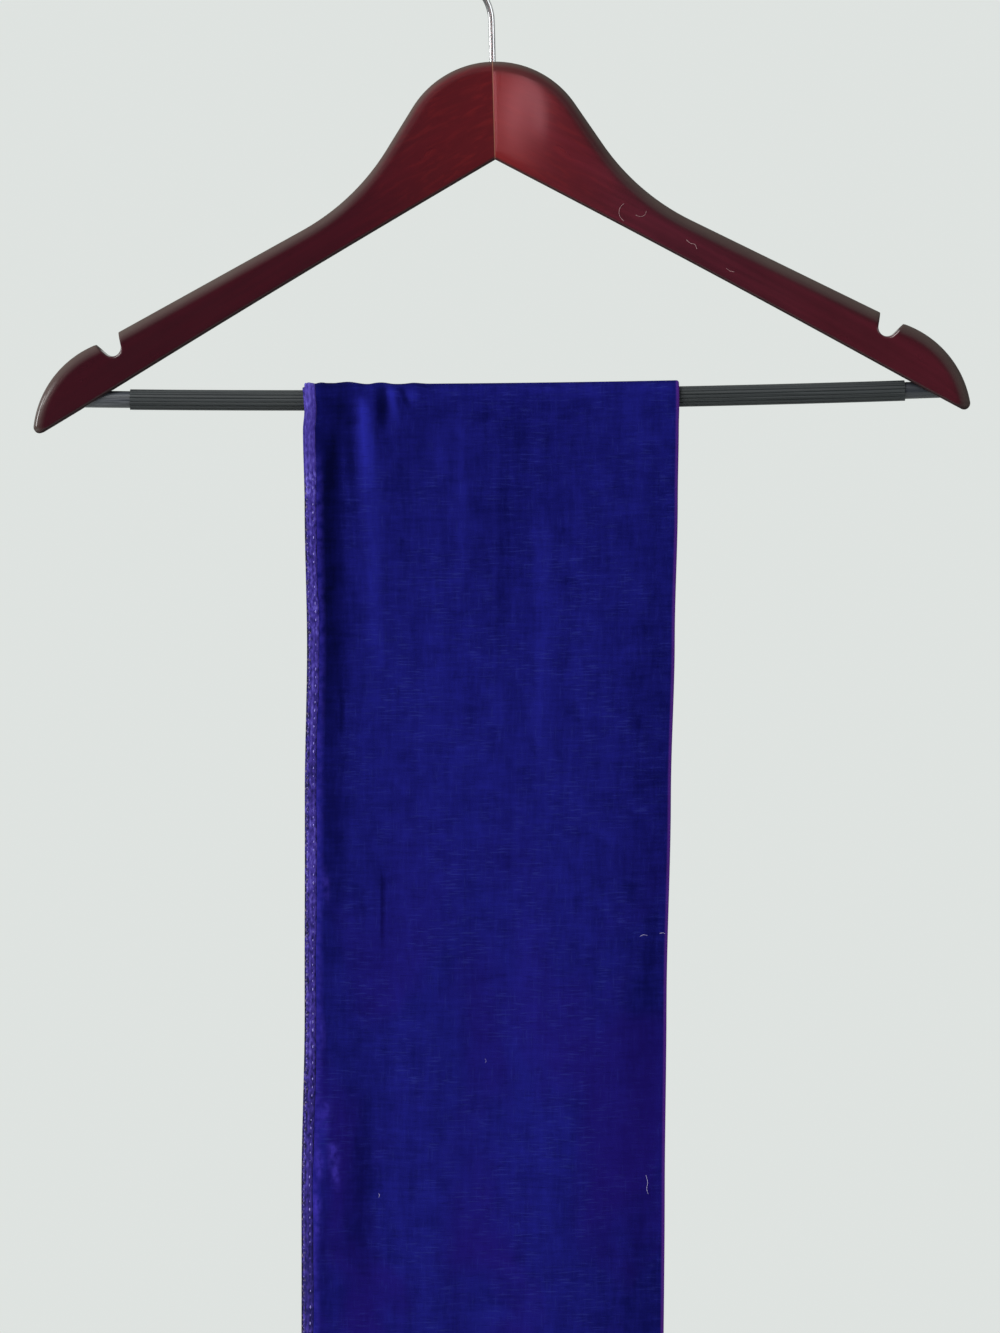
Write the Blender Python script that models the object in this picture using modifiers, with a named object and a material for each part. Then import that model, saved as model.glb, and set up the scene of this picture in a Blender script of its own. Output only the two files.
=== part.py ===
"""A velvet scarf, folded in half lengthwise, hung over the bar of a wooden clothes hanger.

Metres, +Z up, +X to the viewer's right, +Y away from the viewer. The origin is the place
where the hook rests on whatever it hangs from. The hanger is drawn level and then leans as
one, because the scarf hangs a little to the left of the hook. The scarf hangs plumb.
"""

import math

import bmesh
import bpy
from mathutils import Vector

MM = 0.001

# Hook: a wire that rises from the wood, bends left, and goes over the top to the right
WIRE_RADIUS = 1.55 * MM
CROOK_RADIUS = 18.8 * MM
LOWER_BEND_RADIUS = 22.0 * MM
CROOK_END = math.radians(-32)
STEM_IN_WOOD = 21.0 * MM

# Wood: two halves glued at the middle, seen from the front, measured from the top of the middle
HOOK_HEIGHT = 71.0 * MM
LEAN = math.radians(1.5)
WOOD_THICKNESS = 13.0 * MM
SWEEP = math.tan(math.radians(4.0))
MIDDLE_HEIGHT = 46.3 * MM
LOWER_SLOPE = math.radians(29.6)
LOWER_ARCH = 0.9 * MM
LOWER_ARCH_SPAN = 200.0 * MM
TOP_ROUNDING = 4.2 * MM
LOWER_ROUNDING = 1.5 * MM
TIP_RADIUS = 3.0 * MM
TIP_CENTRE_X = 219.0 * MM
END_HEADING = math.radians(20)
SEAM = 0.3 * MM

# Top edge of a half, run by run from the middle outwards. Turn is positive where it bends down,
# foot_x is how far out the lower edge has come by the end of the run.
TOP_RUNS = (
    {"run": "crest", "radius": 46.0 * MM, "turn": 56.8, "steps": 8, "foot_x": 30.0 * MM},
    {"run": "neck", "length": 23.6 * MM, "steps": 2, "foot_x": 41.0 * MM},
    {"run": "hollow", "radius": 108.8 * MM, "turn": -29.3, "steps": 5, "foot_x": 84.0 * MM},
    {"run": "arm", "length": 111.4 * MM, "steps": 3, "foot_x": 180.0 * MM},
)
END_STEPS = 7
END_FOOT_X = 212.0 * MM
TIP_STEPS = 3
TIP_SPREAD = math.radians(16)

# Notch for a strap, cut down into each shoulder
NOTCH_CENTRE = (183.8 * MM, -130.4 * MM)
NOTCH_RADIUS = 4.4 * MM
NOTCH_INNER_WALL = math.radians(80)
NOTCH_OUTER_WALL = math.radians(43)
NOTCH_WALL = 16.0 * MM

# Bar: a rod with a ribbed sleeve, a little bowed, and a little lower at its right end
ROD_RADIUS = 4.0 * MM
SLEEVE_RADIUS = 4.87 * MM
SLEEVE_RIBS = 16
RIB_HEIGHT = 0.3 * MM
BORE_RADIUS = ROD_RADIUS + 0.3 * MM
BAR_DROP = 159.9 * MM
BAR_BOW = 1.93 * MM
BAR_HALF_SPAN = 183.0 * MM
BAR_SLOPE = -0.015
BAR_FORWARD = 14.2 * MM
ROD_LEFT, ROD_RIGHT = -203.5 * MM, 212.5 * MM
SLEEVE_LEFT, SLEEVE_RIGHT = -175.9 * MM, 191.3 * MM

# Scarf: one length of velvet, two plies, the fold on the right and the hems on the left
FOLDED_WIDTH = 176.5 * MM
CUT_LENGTH = 1600.0 * MM
FRONT_SHARE = 0.506
PLY = 1.1 * MM
PLY_GAP = 0.4 * MM
HEM_PLY = 1.3 * MM
HEM_WIDTH = 5.0 * MM
HEM_SPREAD = 0.35 * MM
REST_GAP = 0.3 * MM
STRETCH_END = 18.0 * MM
FOLD_STEPS = 4
BEND_RADIUS = SLEEVE_RADIUS + REST_GAP + PLY + PLY_GAP / 2

# Edges of the front fall, by the length of cloth below the top of the bar
EDGES = (
    {"below": 0.0, "left": -87.1 * MM, "right": 89.9 * MM},
    {"below": 15.0 * MM, "left": -86.0 * MM, "right": 90.0 * MM},
    {"below": 24.0 * MM, "left": -86.7 * MM, "right": 89.8 * MM},
    {"below": 60.0 * MM, "left": -86.0 * MM, "right": 89.4 * MM},
    {"below": 125.0 * MM, "left": -85.0 * MM, "right": 88.1 * MM},
    {"below": 200.0 * MM, "left": -86.2 * MM, "right": 86.4 * MM},
    {"below": 300.0 * MM, "left": -86.5 * MM, "right": 84.5 * MM},
    {"below": 390.0 * MM, "left": -88.2 * MM, "right": 83.8 * MM},
    {"below": 520.0 * MM, "left": -88.4 * MM, "right": 83.0 * MM},
    {"below": 820.0 * MM, "left": -89.6 * MM, "right": 82.6 * MM},
)

# Folds of the front fall and, on their own rows, of the back fall: place across from the hemmed
# edge, half width, how far the ridge stands out (or the trough sinks in), and where it starts and
# ends down the fall. A start below zero carries the fold over the bar.
FRONT_FOLDS = (
    {"across": 12.0 * MM, "half_width": 8.0 * MM, "rise": 0.9 * MM, "start": -26 * MM, "end": 12 * MM},
    {"across": 17.0 * MM, "half_width": 9.0 * MM, "rise": -1.3 * MM, "start": 10 * MM, "end": 165 * MM},
    {"across": 29.0 * MM, "half_width": 8.0 * MM, "rise": 2.0 * MM, "start": -8 * MM, "end": 95 * MM},
    {"across": 35.5 * MM, "half_width": 6.0 * MM, "rise": -0.9 * MM, "start": 10 * MM, "end": 36 * MM},
    {"across": 41.0 * MM, "half_width": 6.0 * MM, "rise": 0.9 * MM, "start": -20 * MM, "end": 30 * MM},
    {"across": 51.0 * MM, "half_width": 8.0 * MM, "rise": 0.5 * MM, "start": -12 * MM, "end": 44 * MM},
    {"across": 30.0 * MM, "half_width": 22.0 * MM, "rise": -1.6 * MM, "start": 320 * MM, "end": 470 * MM},
    {"across": 62.0 * MM, "half_width": 26.0 * MM, "rise": 2.4 * MM, "start": 180 * MM, "end": 820 * MM},
    {"across": 128.0 * MM, "half_width": 34.0 * MM, "rise": 3.0 * MM, "start": 260 * MM, "end": 900 * MM},
)
BACK_FOLDS = (
    {"across": 22.0 * MM, "half_width": 9.0 * MM, "rise": 1.8 * MM, "start": -30 * MM, "end": 80 * MM},
    {"across": 42.0 * MM, "half_width": 8.0 * MM, "rise": 1.0 * MM, "start": -20 * MM, "end": 46 * MM},
    {"across": 52.0 * MM, "half_width": 26.0 * MM, "rise": 2.6 * MM, "start": 150 * MM, "end": 860 * MM},
    {"across": 118.0 * MM, "half_width": 30.0 * MM, "rise": 2.2 * MM, "start": 220 * MM, "end": 800 * MM},
)

# Columns of the cloth, closer where the small folds are, and rows of each stretch
COLUMNS = (
    {"to": HEM_WIDTH, "steps": 1},
    {"to": 58.0 * MM, "steps": 12},
    {"to": FOLDED_WIDTH, "steps": 8},
)
FALL_ROWS = (
    {"to": 70.0 * MM, "steps": 5},
    {"to": 190.0 * MM, "steps": 4},
    {"to": 1.0, "steps": 7},
)
TURN_ROWS = 10


def clear_scene():
    """Empties the file of whatever it starts with."""
    for item in list(bpy.data.objects):
        bpy.data.objects.remove(item, do_unlink=True)


def new_collection(name):
    collection = bpy.data.collections.new(name)
    bpy.context.scene.collection.children.link(collection)
    return collection


def material(name, colour, roughness, metallic=0.0, sheen=0.0, coat=0.0):
    """A Principled material in the part's own colour."""
    finish = bpy.data.materials.new(name)
    finish.use_nodes = True
    shader = finish.node_tree.nodes["Principled BSDF"]
    shader.inputs["Base Color"].default_value = (*colour, 1.0)
    shader.inputs["Roughness"].default_value = roughness
    shader.inputs["Metallic"].default_value = metallic
    shader.inputs["Sheen Weight"].default_value = sheen
    shader.inputs["Coat Weight"].default_value = coat
    finish.diffuse_color = (*colour, 1.0)
    return finish


def place(name, data, collection, finish=None, parent=None):
    """Puts a mesh or curve into the model under its node's name."""
    item = bpy.data.objects.new(name, data)
    collection.objects.link(item)
    item.parent = parent
    if finish:
        data.materials.append(finish)
    return item


def as_mesh(item, collection):
    """Turns a curve object into a mesh object with its caps welded on."""
    depsgraph = bpy.context.evaluated_depsgraph_get()
    mesh = bpy.data.meshes.new_from_object(item.evaluated_get(depsgraph))
    work = bmesh.new()
    work.from_mesh(mesh)
    bmesh.ops.remove_doubles(work, verts=work.verts, dist=0.01 * MM)
    bmesh.ops.recalc_face_normals(work, faces=work.faces)
    work.to_mesh(mesh)
    work.free()
    name, matrix, parent = item.name, item.matrix_world.copy(), item.parent
    bpy.data.objects.remove(item, do_unlink=True)
    solid = place(name, mesh, collection, parent=parent)
    solid.matrix_world = matrix
    return solid


def wire(name, points, radius, collection, finish=None, sides=2, parent=None, end_radii=()):
    """A round wire or rod along points, with closed ends. end_radii narrows the last points."""
    curve = bpy.data.curves.new(name, "CURVE")
    curve.dimensions = "3D"
    curve.bevel_depth = radius
    curve.bevel_resolution = sides
    curve.use_fill_caps = True
    spline = curve.splines.new("POLY")
    spline.points.add(len(points) - 1)
    for knot, point in zip(spline.points, points):
        knot.co = (*point, 1.0)
    for knot, share in zip(reversed(spline.points), reversed(end_radii)):
        knot.radius = share
    return place(name, curve, collection, finish, parent)


def cut(item, cutter):
    """Takes the cutter's shape out of a piece."""
    modifier = item.modifiers.new(cutter.name, "BOOLEAN")
    modifier.operation = "DIFFERENCE"
    modifier.solver = "EXACT"
    modifier.object = cutter
    cutter.hide_render = True
    cutter.display_type = "WIRE"


def smooth(item, angle=35):
    item.data.shade_smooth()
    item.data.set_sharp_from_angle(angle=math.radians(angle))


def ease(value):
    """Smooth step from 0 to 1."""
    value = min(max(value, 0.0), 1.0)
    return value * value * (3 - 2 * value)


def spread(rows, start=0.0, reach=1.0):
    """Places from start on, cut into steps row by row. A row's end is held to reach."""
    places = [start]
    for row in rows:
        low, high = places[-1], min(row["to"], reach)
        places += [low + (high - low) * (i + 1) / row["steps"] for i in range(row["steps"])]
    return places


# Wooden halves


def tip_centre():
    """Centre of the rounding at the end of a half, which also touches the lower edge."""
    rise = TIP_RADIUS / math.cos(LOWER_SLOPE)
    return Vector((TIP_CENTRE_X, -MIDDLE_HEIGHT - TIP_CENTRE_X * math.tan(LOWER_SLOPE) + rise))


def lower_point(x):
    """A point of the lower edge, which is slightly arched between the middle and the tip."""
    arch = LOWER_ARCH * max(math.sin(math.pi * x / LOWER_ARCH_SPAN), 0.0)
    return Vector((x, -MIDDLE_HEIGHT - x * math.tan(LOWER_SLOPE) + arch))


def down_heading(heading):
    """Unit vector of a heading that is measured down from +X."""
    return Vector((math.cos(heading), -math.sin(heading)))


def right_of(heading):
    """Unit vector square to a heading, towards the wood."""
    return Vector((-math.sin(heading), -math.cos(heading)))


def arm_stations():
    """Pairs of a top point and its foot on the lower edge, from the middle to the tip."""
    point, heading = Vector((0.0, 0.0)), 0.0
    stations = [(point.copy(), lower_point(0.0))]
    for run in TOP_RUNS:
        foot_start = stations[-1][1].x
        turn = math.radians(run.get("turn", 0.0))
        for step in range(1, run["steps"] + 1):
            part = step / run["steps"]
            if turn:
                side = math.copysign(run["radius"], turn)
                centre = point + right_of(heading) * side
                top = centre - right_of(heading + turn * part) * side
            else:
                top = point + down_heading(heading) * run["length"] * part
            stations.append((top, lower_point(foot_start + (run["foot_x"] - foot_start) * part)))
        point, heading = stations[-1][0], heading + turn
    # The end arc leaves the lip at its own heading and meets the tip's rounding
    inward = right_of(END_HEADING)
    to_tip = tip_centre() - point
    radius = (to_tip.length_squared - TIP_RADIUS**2) / (2 * (inward.dot(to_tip) - TIP_RADIUS))
    centre = point + inward * radius
    reach = tip_centre() - centre
    last_heading = math.pi / 2 - math.atan2(reach.y, reach.x)
    foot_start = stations[-1][1].x
    for step in range(1, END_STEPS + 1):
        part = step / END_STEPS
        top = centre - right_of(END_HEADING + (last_heading - END_HEADING) * part) * radius
        foot_part = part**0.8
        stations.append((top, lower_point(foot_start + (END_FOOT_X - foot_start) * foot_part)))
    # Both edges go round the tip towards each other
    foot_heading = math.pi + LOWER_SLOPE
    middle = (last_heading + foot_heading) / 2
    for step in range(1, TIP_STEPS + 1):
        part = step / TIP_STEPS
        upper = last_heading + (middle - TIP_SPREAD - last_heading) * part
        lower = foot_heading + (middle + TIP_SPREAD - foot_heading) * part
        stations.append(
            (tip_centre() - right_of(upper) * TIP_RADIUS, tip_centre() - right_of(lower) * TIP_RADIUS)
        )
    return stations


def arm_ring(top, foot, tip):
    """Section of a half between its top point and its foot: a board with rounded edges."""
    height = (top - foot).length
    up = (top - foot) / height
    top_round = min(TOP_ROUNDING, 0.48 * height)
    low_round = min(LOWER_ROUNDING, 0.3 * height)
    half = WOOD_THICKNESS / 2
    from_tip = ((top + foot) / 2 - tip).length
    if from_tip < TOP_ROUNDING:
        lost = TOP_ROUNDING - math.sqrt(TOP_ROUNDING**2 - (TOP_ROUNDING - from_tip) ** 2)
        half -= 0.8 * lost
    corners = (
        (top_round, height, -half, 90, 180, 4),
        (low_round, 0.0, -half, 180, 270, 2),
        (low_round, 0.0, half, 270, 360, 2),
        (top_round, height, half, 0, 90, 4),
    )
    ring = []
    for radius, edge, side, start, stop, steps in corners:
        along = edge - radius if edge else radius
        across = side - math.copysign(radius, side)
        for step in range(steps + 1):
            angle = math.radians(start + (stop - start) * step / steps)
            place_on = foot + up * (along + radius * math.sin(angle))
            depth = across + radius * math.cos(angle)
            ring.append((place_on.x, depth, place_on.y))
    return ring


def wooden_half(name, side, collection, finish, parent):
    """One half of the hanger, lofted through its sections. side is -1 on the left."""
    stations = arm_stations()
    tip = (stations[-1][0] + stations[-1][1]) / 2 + Vector((0.5 * MM, -0.5 * MM))
    work = bmesh.new()
    rings = []
    for top, foot in stations:
        ring = []
        for x, y, z in arm_ring(top, foot, tip):
            x = max(x, SEAM / 2)
            ring.append(work.verts.new((side * x, y - SWEEP * x, z - HOOK_HEIGHT)))
        rings.append(ring)
    for near, far in zip(rings, rings[1:]):
        for i in range(len(near)):
            j = (i + 1) % len(near)
            work.faces.new((near[i], near[j], far[j], far[i]))
    work.faces.new(rings[0])
    work.faces.new(rings[-1])
    bmesh.ops.recalc_face_normals(work, faces=work.faces)
    mesh = bpy.data.meshes.new(name)
    work.to_mesh(mesh)
    work.free()
    half = place(name, mesh, collection, finish, parent)
    smooth(half)
    return half


def notch_cutter(name, side, collection, parent):
    """Flat outline of a notch, right through the wood: a round bottom and two walls that open out."""
    curve = bpy.data.curves.new(name, "CURVE")
    curve.dimensions = "2D"
    curve.fill_mode = "BOTH"
    curve.extrude = WOOD_THICKNESS
    centre = Vector(NOTCH_CENTRE)
    outline = []
    # The walls run upwards from the two ends of the round bottom
    start = NOTCH_OUTER_WALL - math.pi / 2
    stop = NOTCH_INNER_WALL - 1.5 * math.pi
    for step in range(11):
        angle = start + (stop - start) * step / 10
        outline.append(centre + Vector((math.cos(angle), math.sin(angle))) * NOTCH_RADIUS)
    inner = Vector((math.cos(NOTCH_INNER_WALL), math.sin(NOTCH_INNER_WALL)))
    outer = Vector((math.cos(NOTCH_OUTER_WALL), math.sin(NOTCH_OUTER_WALL)))
    outline.append(outline[-1] + inner * NOTCH_WALL)
    outline.append(outline[0] + outer * NOTCH_WALL)
    spline = curve.splines.new("POLY")
    spline.points.add(len(outline) - 1)
    for knot, point in zip(spline.points, outline):
        knot.co = (side * point.x, point.y, 0.0, 1.0)
    spline.use_cyclic_u = True
    cutter = place(name, curve, collection, parent=parent)
    cutter.location = (0.0, -SWEEP * NOTCH_CENTRE[0], -HOOK_HEIGHT)
    cutter.rotation_euler = (math.pi / 2, 0.0, 0.0)
    bpy.context.view_layer.update()
    return as_mesh(cutter, collection)


# Bar


def bar_height(x):
    """Height of the bar's centre line in the hanger's own frame."""
    return BAR_BOW * ((x / BAR_HALF_SPAN) ** 2 - 1) + BAR_SLOPE * x - BAR_DROP + BAR_BOW - HOOK_HEIGHT


def bar_points(start, stop, steps):
    xs = [start + (stop - start) * i / steps for i in range(steps + 1)]
    return [(x, -BAR_FORWARD, bar_height(x)) for x in xs]


def leaning_bar_height(x):
    """Height of the bar's centre line below the hook, at a distance x beside the hook's plumb line."""
    own_x, height = x, -BAR_DROP - HOOK_HEIGHT
    for _ in range(4):
        own_x = (x + height * math.sin(LEAN)) / math.cos(LEAN)
        height = bar_height(own_x)
    return own_x * math.sin(LEAN) + height * math.cos(LEAN)


def sleeve(name, collection, finish, parent, bore, cutters):
    """Ribbed sleeve on the rod: its star-shaped outline runs along the bar, then it is bored."""
    outline = bpy.data.curves.new(name + "_outline", "CURVE")
    outline.dimensions = "2D"
    spline = outline.splines.new("POLY")
    knots = []
    for rib in range(SLEEVE_RIBS):
        for part, depth in ((0.0, RIB_HEIGHT), (0.28, 0.0), (0.72, 0.0)):
            angle = 2 * math.pi * (rib + part) / SLEEVE_RIBS
            radius = SLEEVE_RADIUS - depth
            knots.append((radius * math.cos(angle), radius * math.sin(angle), 0.0, 1.0))
    spline.points.add(len(knots) - 1)
    for knot, co in zip(spline.points, knots):
        knot.co = co
    spline.use_cyclic_u = True
    guide = place(outline.name, outline, cutters)
    guide.hide_render = True
    path = wire(name, bar_points(SLEEVE_LEFT, SLEEVE_RIGHT, 6), 0.0, collection, parent=parent)
    path.data.bevel_mode = "OBJECT"
    path.data.bevel_object = guide
    bpy.context.view_layer.update()
    solid = as_mesh(path, collection)
    solid.data.materials.append(finish)
    cut(solid, bore)
    return solid


# Hook


def hook_points():
    """Centre line of the wire, from its end in the wood to its free end."""
    centre = Vector((0.0, WIRE_RADIUS - CROOK_RADIUS))
    rise = math.sqrt(CROOK_RADIUS**2 + 2 * CROOK_RADIUS * LOWER_BEND_RADIUS)
    bend = Vector((-LOWER_BEND_RADIUS, centre.y - rise))
    meet = math.atan2(rise, LOWER_BEND_RADIUS)
    points = [(0.0, 0.0, -HOOK_HEIGHT - STEM_IN_WOOD)]
    for step in range(7):
        angle = meet * step / 6
        points.append(
            (
                bend.x + LOWER_BEND_RADIUS * math.cos(angle),
                0.0,
                bend.y + LOWER_BEND_RADIUS * math.sin(angle),
            )
        )
    start = math.pi + meet
    for step in range(1, 23):
        angle = start + (CROOK_END - start) * step / 22
        points.append(
            (centre.x + CROOK_RADIUS * math.cos(angle), 0.0, centre.y + CROOK_RADIUS * math.sin(angle))
        )
    return points


# Scarf


def edge_at(below, side):
    """Place of the scarf's left or right edge, smooth between the rows of EDGES."""
    for upper, lower in zip(EDGES, EDGES[1:]):
        if below <= lower["below"] or lower is EDGES[-1]:
            part = ease((below - upper["below"]) / (lower["below"] - upper["below"]))
            return upper[side] + (lower[side] - upper[side]) * part


def fold_rise(across, below, folds):
    """How far the folds move the cloth outwards at a place."""
    total = 0.0
    for fold in folds:
        off = abs(across - fold["across"]) / fold["half_width"]
        if off >= 1:
            continue
        length = fold["end"] - fold["start"]
        along = (below - fold["start"]) / length
        fade = ease(along / 0.25) * ease((1 - along) / 0.6)
        total += fold["rise"] * math.cos(off * math.pi / 2) ** 2 * fade
    return total


def cloth_point(across, lift, run):
    """A point of the cloth. run is the length from the top of the bar, positive on the front."""
    below = abs(run)
    front = edge_at(below, "left"), edge_at(below, "right")
    x = front[0] + (front[1] - front[0]) * across / FOLDED_WIDTH
    rise = lift + fold_rise(across, run, FRONT_FOLDS) + fold_rise(across, -run, BACK_FOLDS)
    turn = min(below / BEND_RADIUS, math.pi / 2)
    outward = math.copysign(1.0, run) * math.sin(turn)
    upward = math.cos(turn)
    reach = BEND_RADIUS + rise
    drop = max(below - BEND_RADIUS * math.pi / 2, 0.0)
    y = -BAR_FORWARD - outward * reach
    z = leaning_bar_height(x) + upward * reach - drop
    return x, y, z


def across_places():
    """Place across, lift off the middle of the two plies, and hem weight, from hem to hem."""
    columns = spread(COLUMNS, reach=FOLDED_WIDTH)
    lift = (PLY + PLY_GAP) / 2
    front = []
    for across in columns[:-1]:
        hem = 1.0 - ease((across - HEM_WIDTH) / (1.0 * MM))
        front.append((across, lift, hem))
    turn = [
        (FOLDED_WIDTH - lift + lift * math.sin(angle), lift * math.cos(angle), 0.0)
        for angle in (math.pi * i / FOLD_STEPS for i in range(FOLD_STEPS + 1))
    ]
    back = [(across, -rise, hem) for across, rise, hem in reversed(front)]
    # The outer hem stands off the inner one, which keeps clear of the bar
    front = [(across, rise + HEM_SPREAD * hem, hem) for across, rise, hem in front]
    return front + turn + back


def scarf_stretch(name, runs, collection, finish):
    """One stretch of the folded scarf between two runs, as a bent sheet with its ply's thickness."""
    places = across_places()
    columns, rows = len(places) - 1, len(runs) - 1
    work = bmesh.new()
    bmesh.ops.create_grid(work, x_segments=columns, y_segments=rows, size=1)
    hem_shares = []
    for vert in work.verts:
        across, lift, hem = places[round((vert.co.x + 1) / 2 * columns)]
        vert.co = cloth_point(across, lift, runs[round((vert.co.y + 1) / 2 * rows)])
        hem_shares.append(hem)
    mesh = bpy.data.meshes.new(name)
    work.to_mesh(mesh)
    work.free()
    sheet = place(name, mesh, collection, finish)
    group = sheet.vertex_groups.new(name="hem")
    for index, share in enumerate(hem_shares):
        group.add([index], share, "REPLACE")
    wall = sheet.modifiers.new("ply", "SOLIDIFY")
    wall.thickness = HEM_PLY
    wall.offset = 0.0
    wall.vertex_group = group.name
    wall.thickness_vertex_group = PLY / HEM_PLY
    smooth(sheet, 50)
    return sheet


def fall_runs(length, side):
    """Rows of a fall, from the seam with the stretch over the bar to its bottom hem."""
    return [side * run for run in spread(FALL_ROWS, STRETCH_END + SEAM / 2, length)]


def bar_runs():
    """Rows of the stretch over the bar: a straight piece, the half turn, and a straight piece."""
    end = STRETCH_END - SEAM / 2
    quarter = BEND_RADIUS * math.pi / 2
    turn = [quarter * (2 * i / TURN_ROWS - 1) for i in range(TURN_ROWS + 1)]
    return [-end] + turn + [end]


def main():
    clear_scene()
    model = new_collection("velvet_scarf_on_hanger")
    cutters = new_collection("cutters")

    velvet = material("indigo velvet", (0.012, 0.012, 0.15), 0.75, sheen=0.6)
    lacquer = material("lacquered wood", (0.10, 0.012, 0.015), 0.22, coat=0.6)
    rubber = material("ribbed sleeve", (0.045, 0.05, 0.052), 0.6)
    rod_paint = material("rod", (0.06, 0.065, 0.075), 0.4)
    steel = material("plated wire", (0.75, 0.76, 0.78), 0.18, metallic=1.0)

    hanger = bpy.data.objects.new("hanger_lean", None)
    model.objects.link(hanger)
    hanger.rotation_euler = (0.0, -LEAN, 0.0)
    bpy.context.view_layer.update()

    left = wooden_half("hanger_arm_left", -1, model, lacquer, hanger)
    right = wooden_half("hanger_arm_right", 1, model, lacquer, hanger)

    bore_points = bar_points(ROD_LEFT - SEAM, ROD_RIGHT + SEAM, 10)
    bore = wire("bar_bore", bore_points, BORE_RADIUS, cutters, sides=6, parent=hanger)
    bpy.context.view_layer.update()
    bore = as_mesh(bore, cutters)
    bpy.ops.mesh.primitive_cylinder_add(
        vertices=24, radius=WIRE_RADIUS + SEAM, depth=2 * (STEM_IN_WOOD + SEAM), location=(0, 0, 0)
    )
    stem_hole = bpy.context.object
    stem_hole.name = "stem_hole"
    for collection in list(stem_hole.users_collection):
        collection.objects.unlink(stem_hole)
    cutters.objects.link(stem_hole)
    stem_hole.parent = hanger
    stem_hole.location = (0, 0, -HOOK_HEIGHT)

    for half, side in ((left, -1), (right, 1)):
        cut(half, notch_cutter(half.name + "_notch", side, cutters, hanger))
        cut(half, bore)
        cut(half, stem_hole)

    rod_points = bar_points(ROD_LEFT, ROD_RIGHT, 8)
    wire("hanger_bar_rod", rod_points, ROD_RADIUS, model, rod_paint, sides=5, parent=hanger)
    sleeve("hanger_bar_sleeve", model, rubber, hanger, bore, cutters)
    hook_end = (0.98, 0.6)
    wire("hanger_hook", hook_points(), WIRE_RADIUS, model, steel, 3, hanger, hook_end)

    front_length = CUT_LENGTH * FRONT_SHARE
    back_length = CUT_LENGTH - front_length
    scarf_stretch("scarf_front_fall", fall_runs(front_length, 1), model, velvet)
    scarf_stretch("scarf_over_bar", bar_runs(), model, velvet)
    scarf_stretch("scarf_back_fall", fall_runs(back_length, -1), model, velvet)


main()
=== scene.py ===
"""The looks of a velvet scarf that hangs, folded in half lengthwise, over the bar of a wooden hanger.

Metres, +Z up, +X to the viewer's right, -Y towards the viewer. The origin is where the hook rests
on its rail. Every piece is made in place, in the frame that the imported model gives.
"""

import logging
import math
from dataclasses import dataclass
from enum import Enum
from typing import Iterable, Sequence

import bmesh
import bpy
import numpy as np
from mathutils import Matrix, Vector


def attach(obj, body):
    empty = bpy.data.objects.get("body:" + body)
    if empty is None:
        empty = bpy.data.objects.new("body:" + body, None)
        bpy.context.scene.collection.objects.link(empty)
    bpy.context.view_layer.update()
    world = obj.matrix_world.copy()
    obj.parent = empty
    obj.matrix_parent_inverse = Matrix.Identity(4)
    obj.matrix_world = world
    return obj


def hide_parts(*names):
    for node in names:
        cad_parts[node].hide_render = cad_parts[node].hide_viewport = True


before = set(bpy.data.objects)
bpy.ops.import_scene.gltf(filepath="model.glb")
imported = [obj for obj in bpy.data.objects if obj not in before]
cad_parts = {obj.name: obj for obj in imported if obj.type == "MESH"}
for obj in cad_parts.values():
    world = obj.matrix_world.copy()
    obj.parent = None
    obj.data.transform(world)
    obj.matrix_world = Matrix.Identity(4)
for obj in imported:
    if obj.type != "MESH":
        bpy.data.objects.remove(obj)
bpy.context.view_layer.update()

MM = 0.001
LOG = logging.getLogger("velvet_scarf")
BODY = "root"

# Where two vertices are one, the least squared length of a stretch, and the angle of a bar's sharp edge
WELD = 0.01 * MM
TINY = 1e-18
BAR_SHARP = math.radians(50)

# Short names of types
Array = np.ndarray
Object = bpy.types.Object
Material = bpy.types.Material
Pair = tuple[float, float]
Triple = tuple[float, float, float]
Colour = Triple


def ease(value: Array | float) -> Array:
    """Smooth step from 0 to 1.

    Args:
        value: Where on the step, held between 0 and 1.

    Returns:
        The eased value.
    """
    held = np.clip(value, 0.0, 1.0)
    return held * held * (3.0 - 2.0 * held)


# Node trees


class Value:
    """A number, vector or colour on its way through a node tree."""

    def __init__(self, graph: "Graph", socket: bpy.types.NodeSocket) -> None:
        """Holds a socket of the graph's tree."""
        self.graph = graph
        self.socket = socket

    def __add__(self, other: "Value | float") -> "Value":
        """Sum."""
        return self.graph.math("ADD", self, other)

    def __radd__(self, other: float) -> "Value":
        """Sum with the number on the left."""
        return self.graph.math("ADD", other, self)

    def __sub__(self, other: "Value | float") -> "Value":
        """Difference."""
        return self.graph.math("SUBTRACT", self, other)

    def __rsub__(self, other: float) -> "Value":
        """Difference with the number on the left."""
        return self.graph.math("SUBTRACT", other, self)

    def __mul__(self, other: "Value | float") -> "Value":
        """Product."""
        return self.graph.math("MULTIPLY", self, other)

    def __rmul__(self, other: float) -> "Value":
        """Product with the number on the left."""
        return self.graph.math("MULTIPLY", other, self)

    def __truediv__(self, other: "Value | float") -> "Value":
        """Quotient."""
        return self.graph.math("DIVIDE", self, other)

    def __abs__(self) -> "Value":
        """Size without its sign."""
        return self.graph.math("ABSOLUTE", self)


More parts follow.
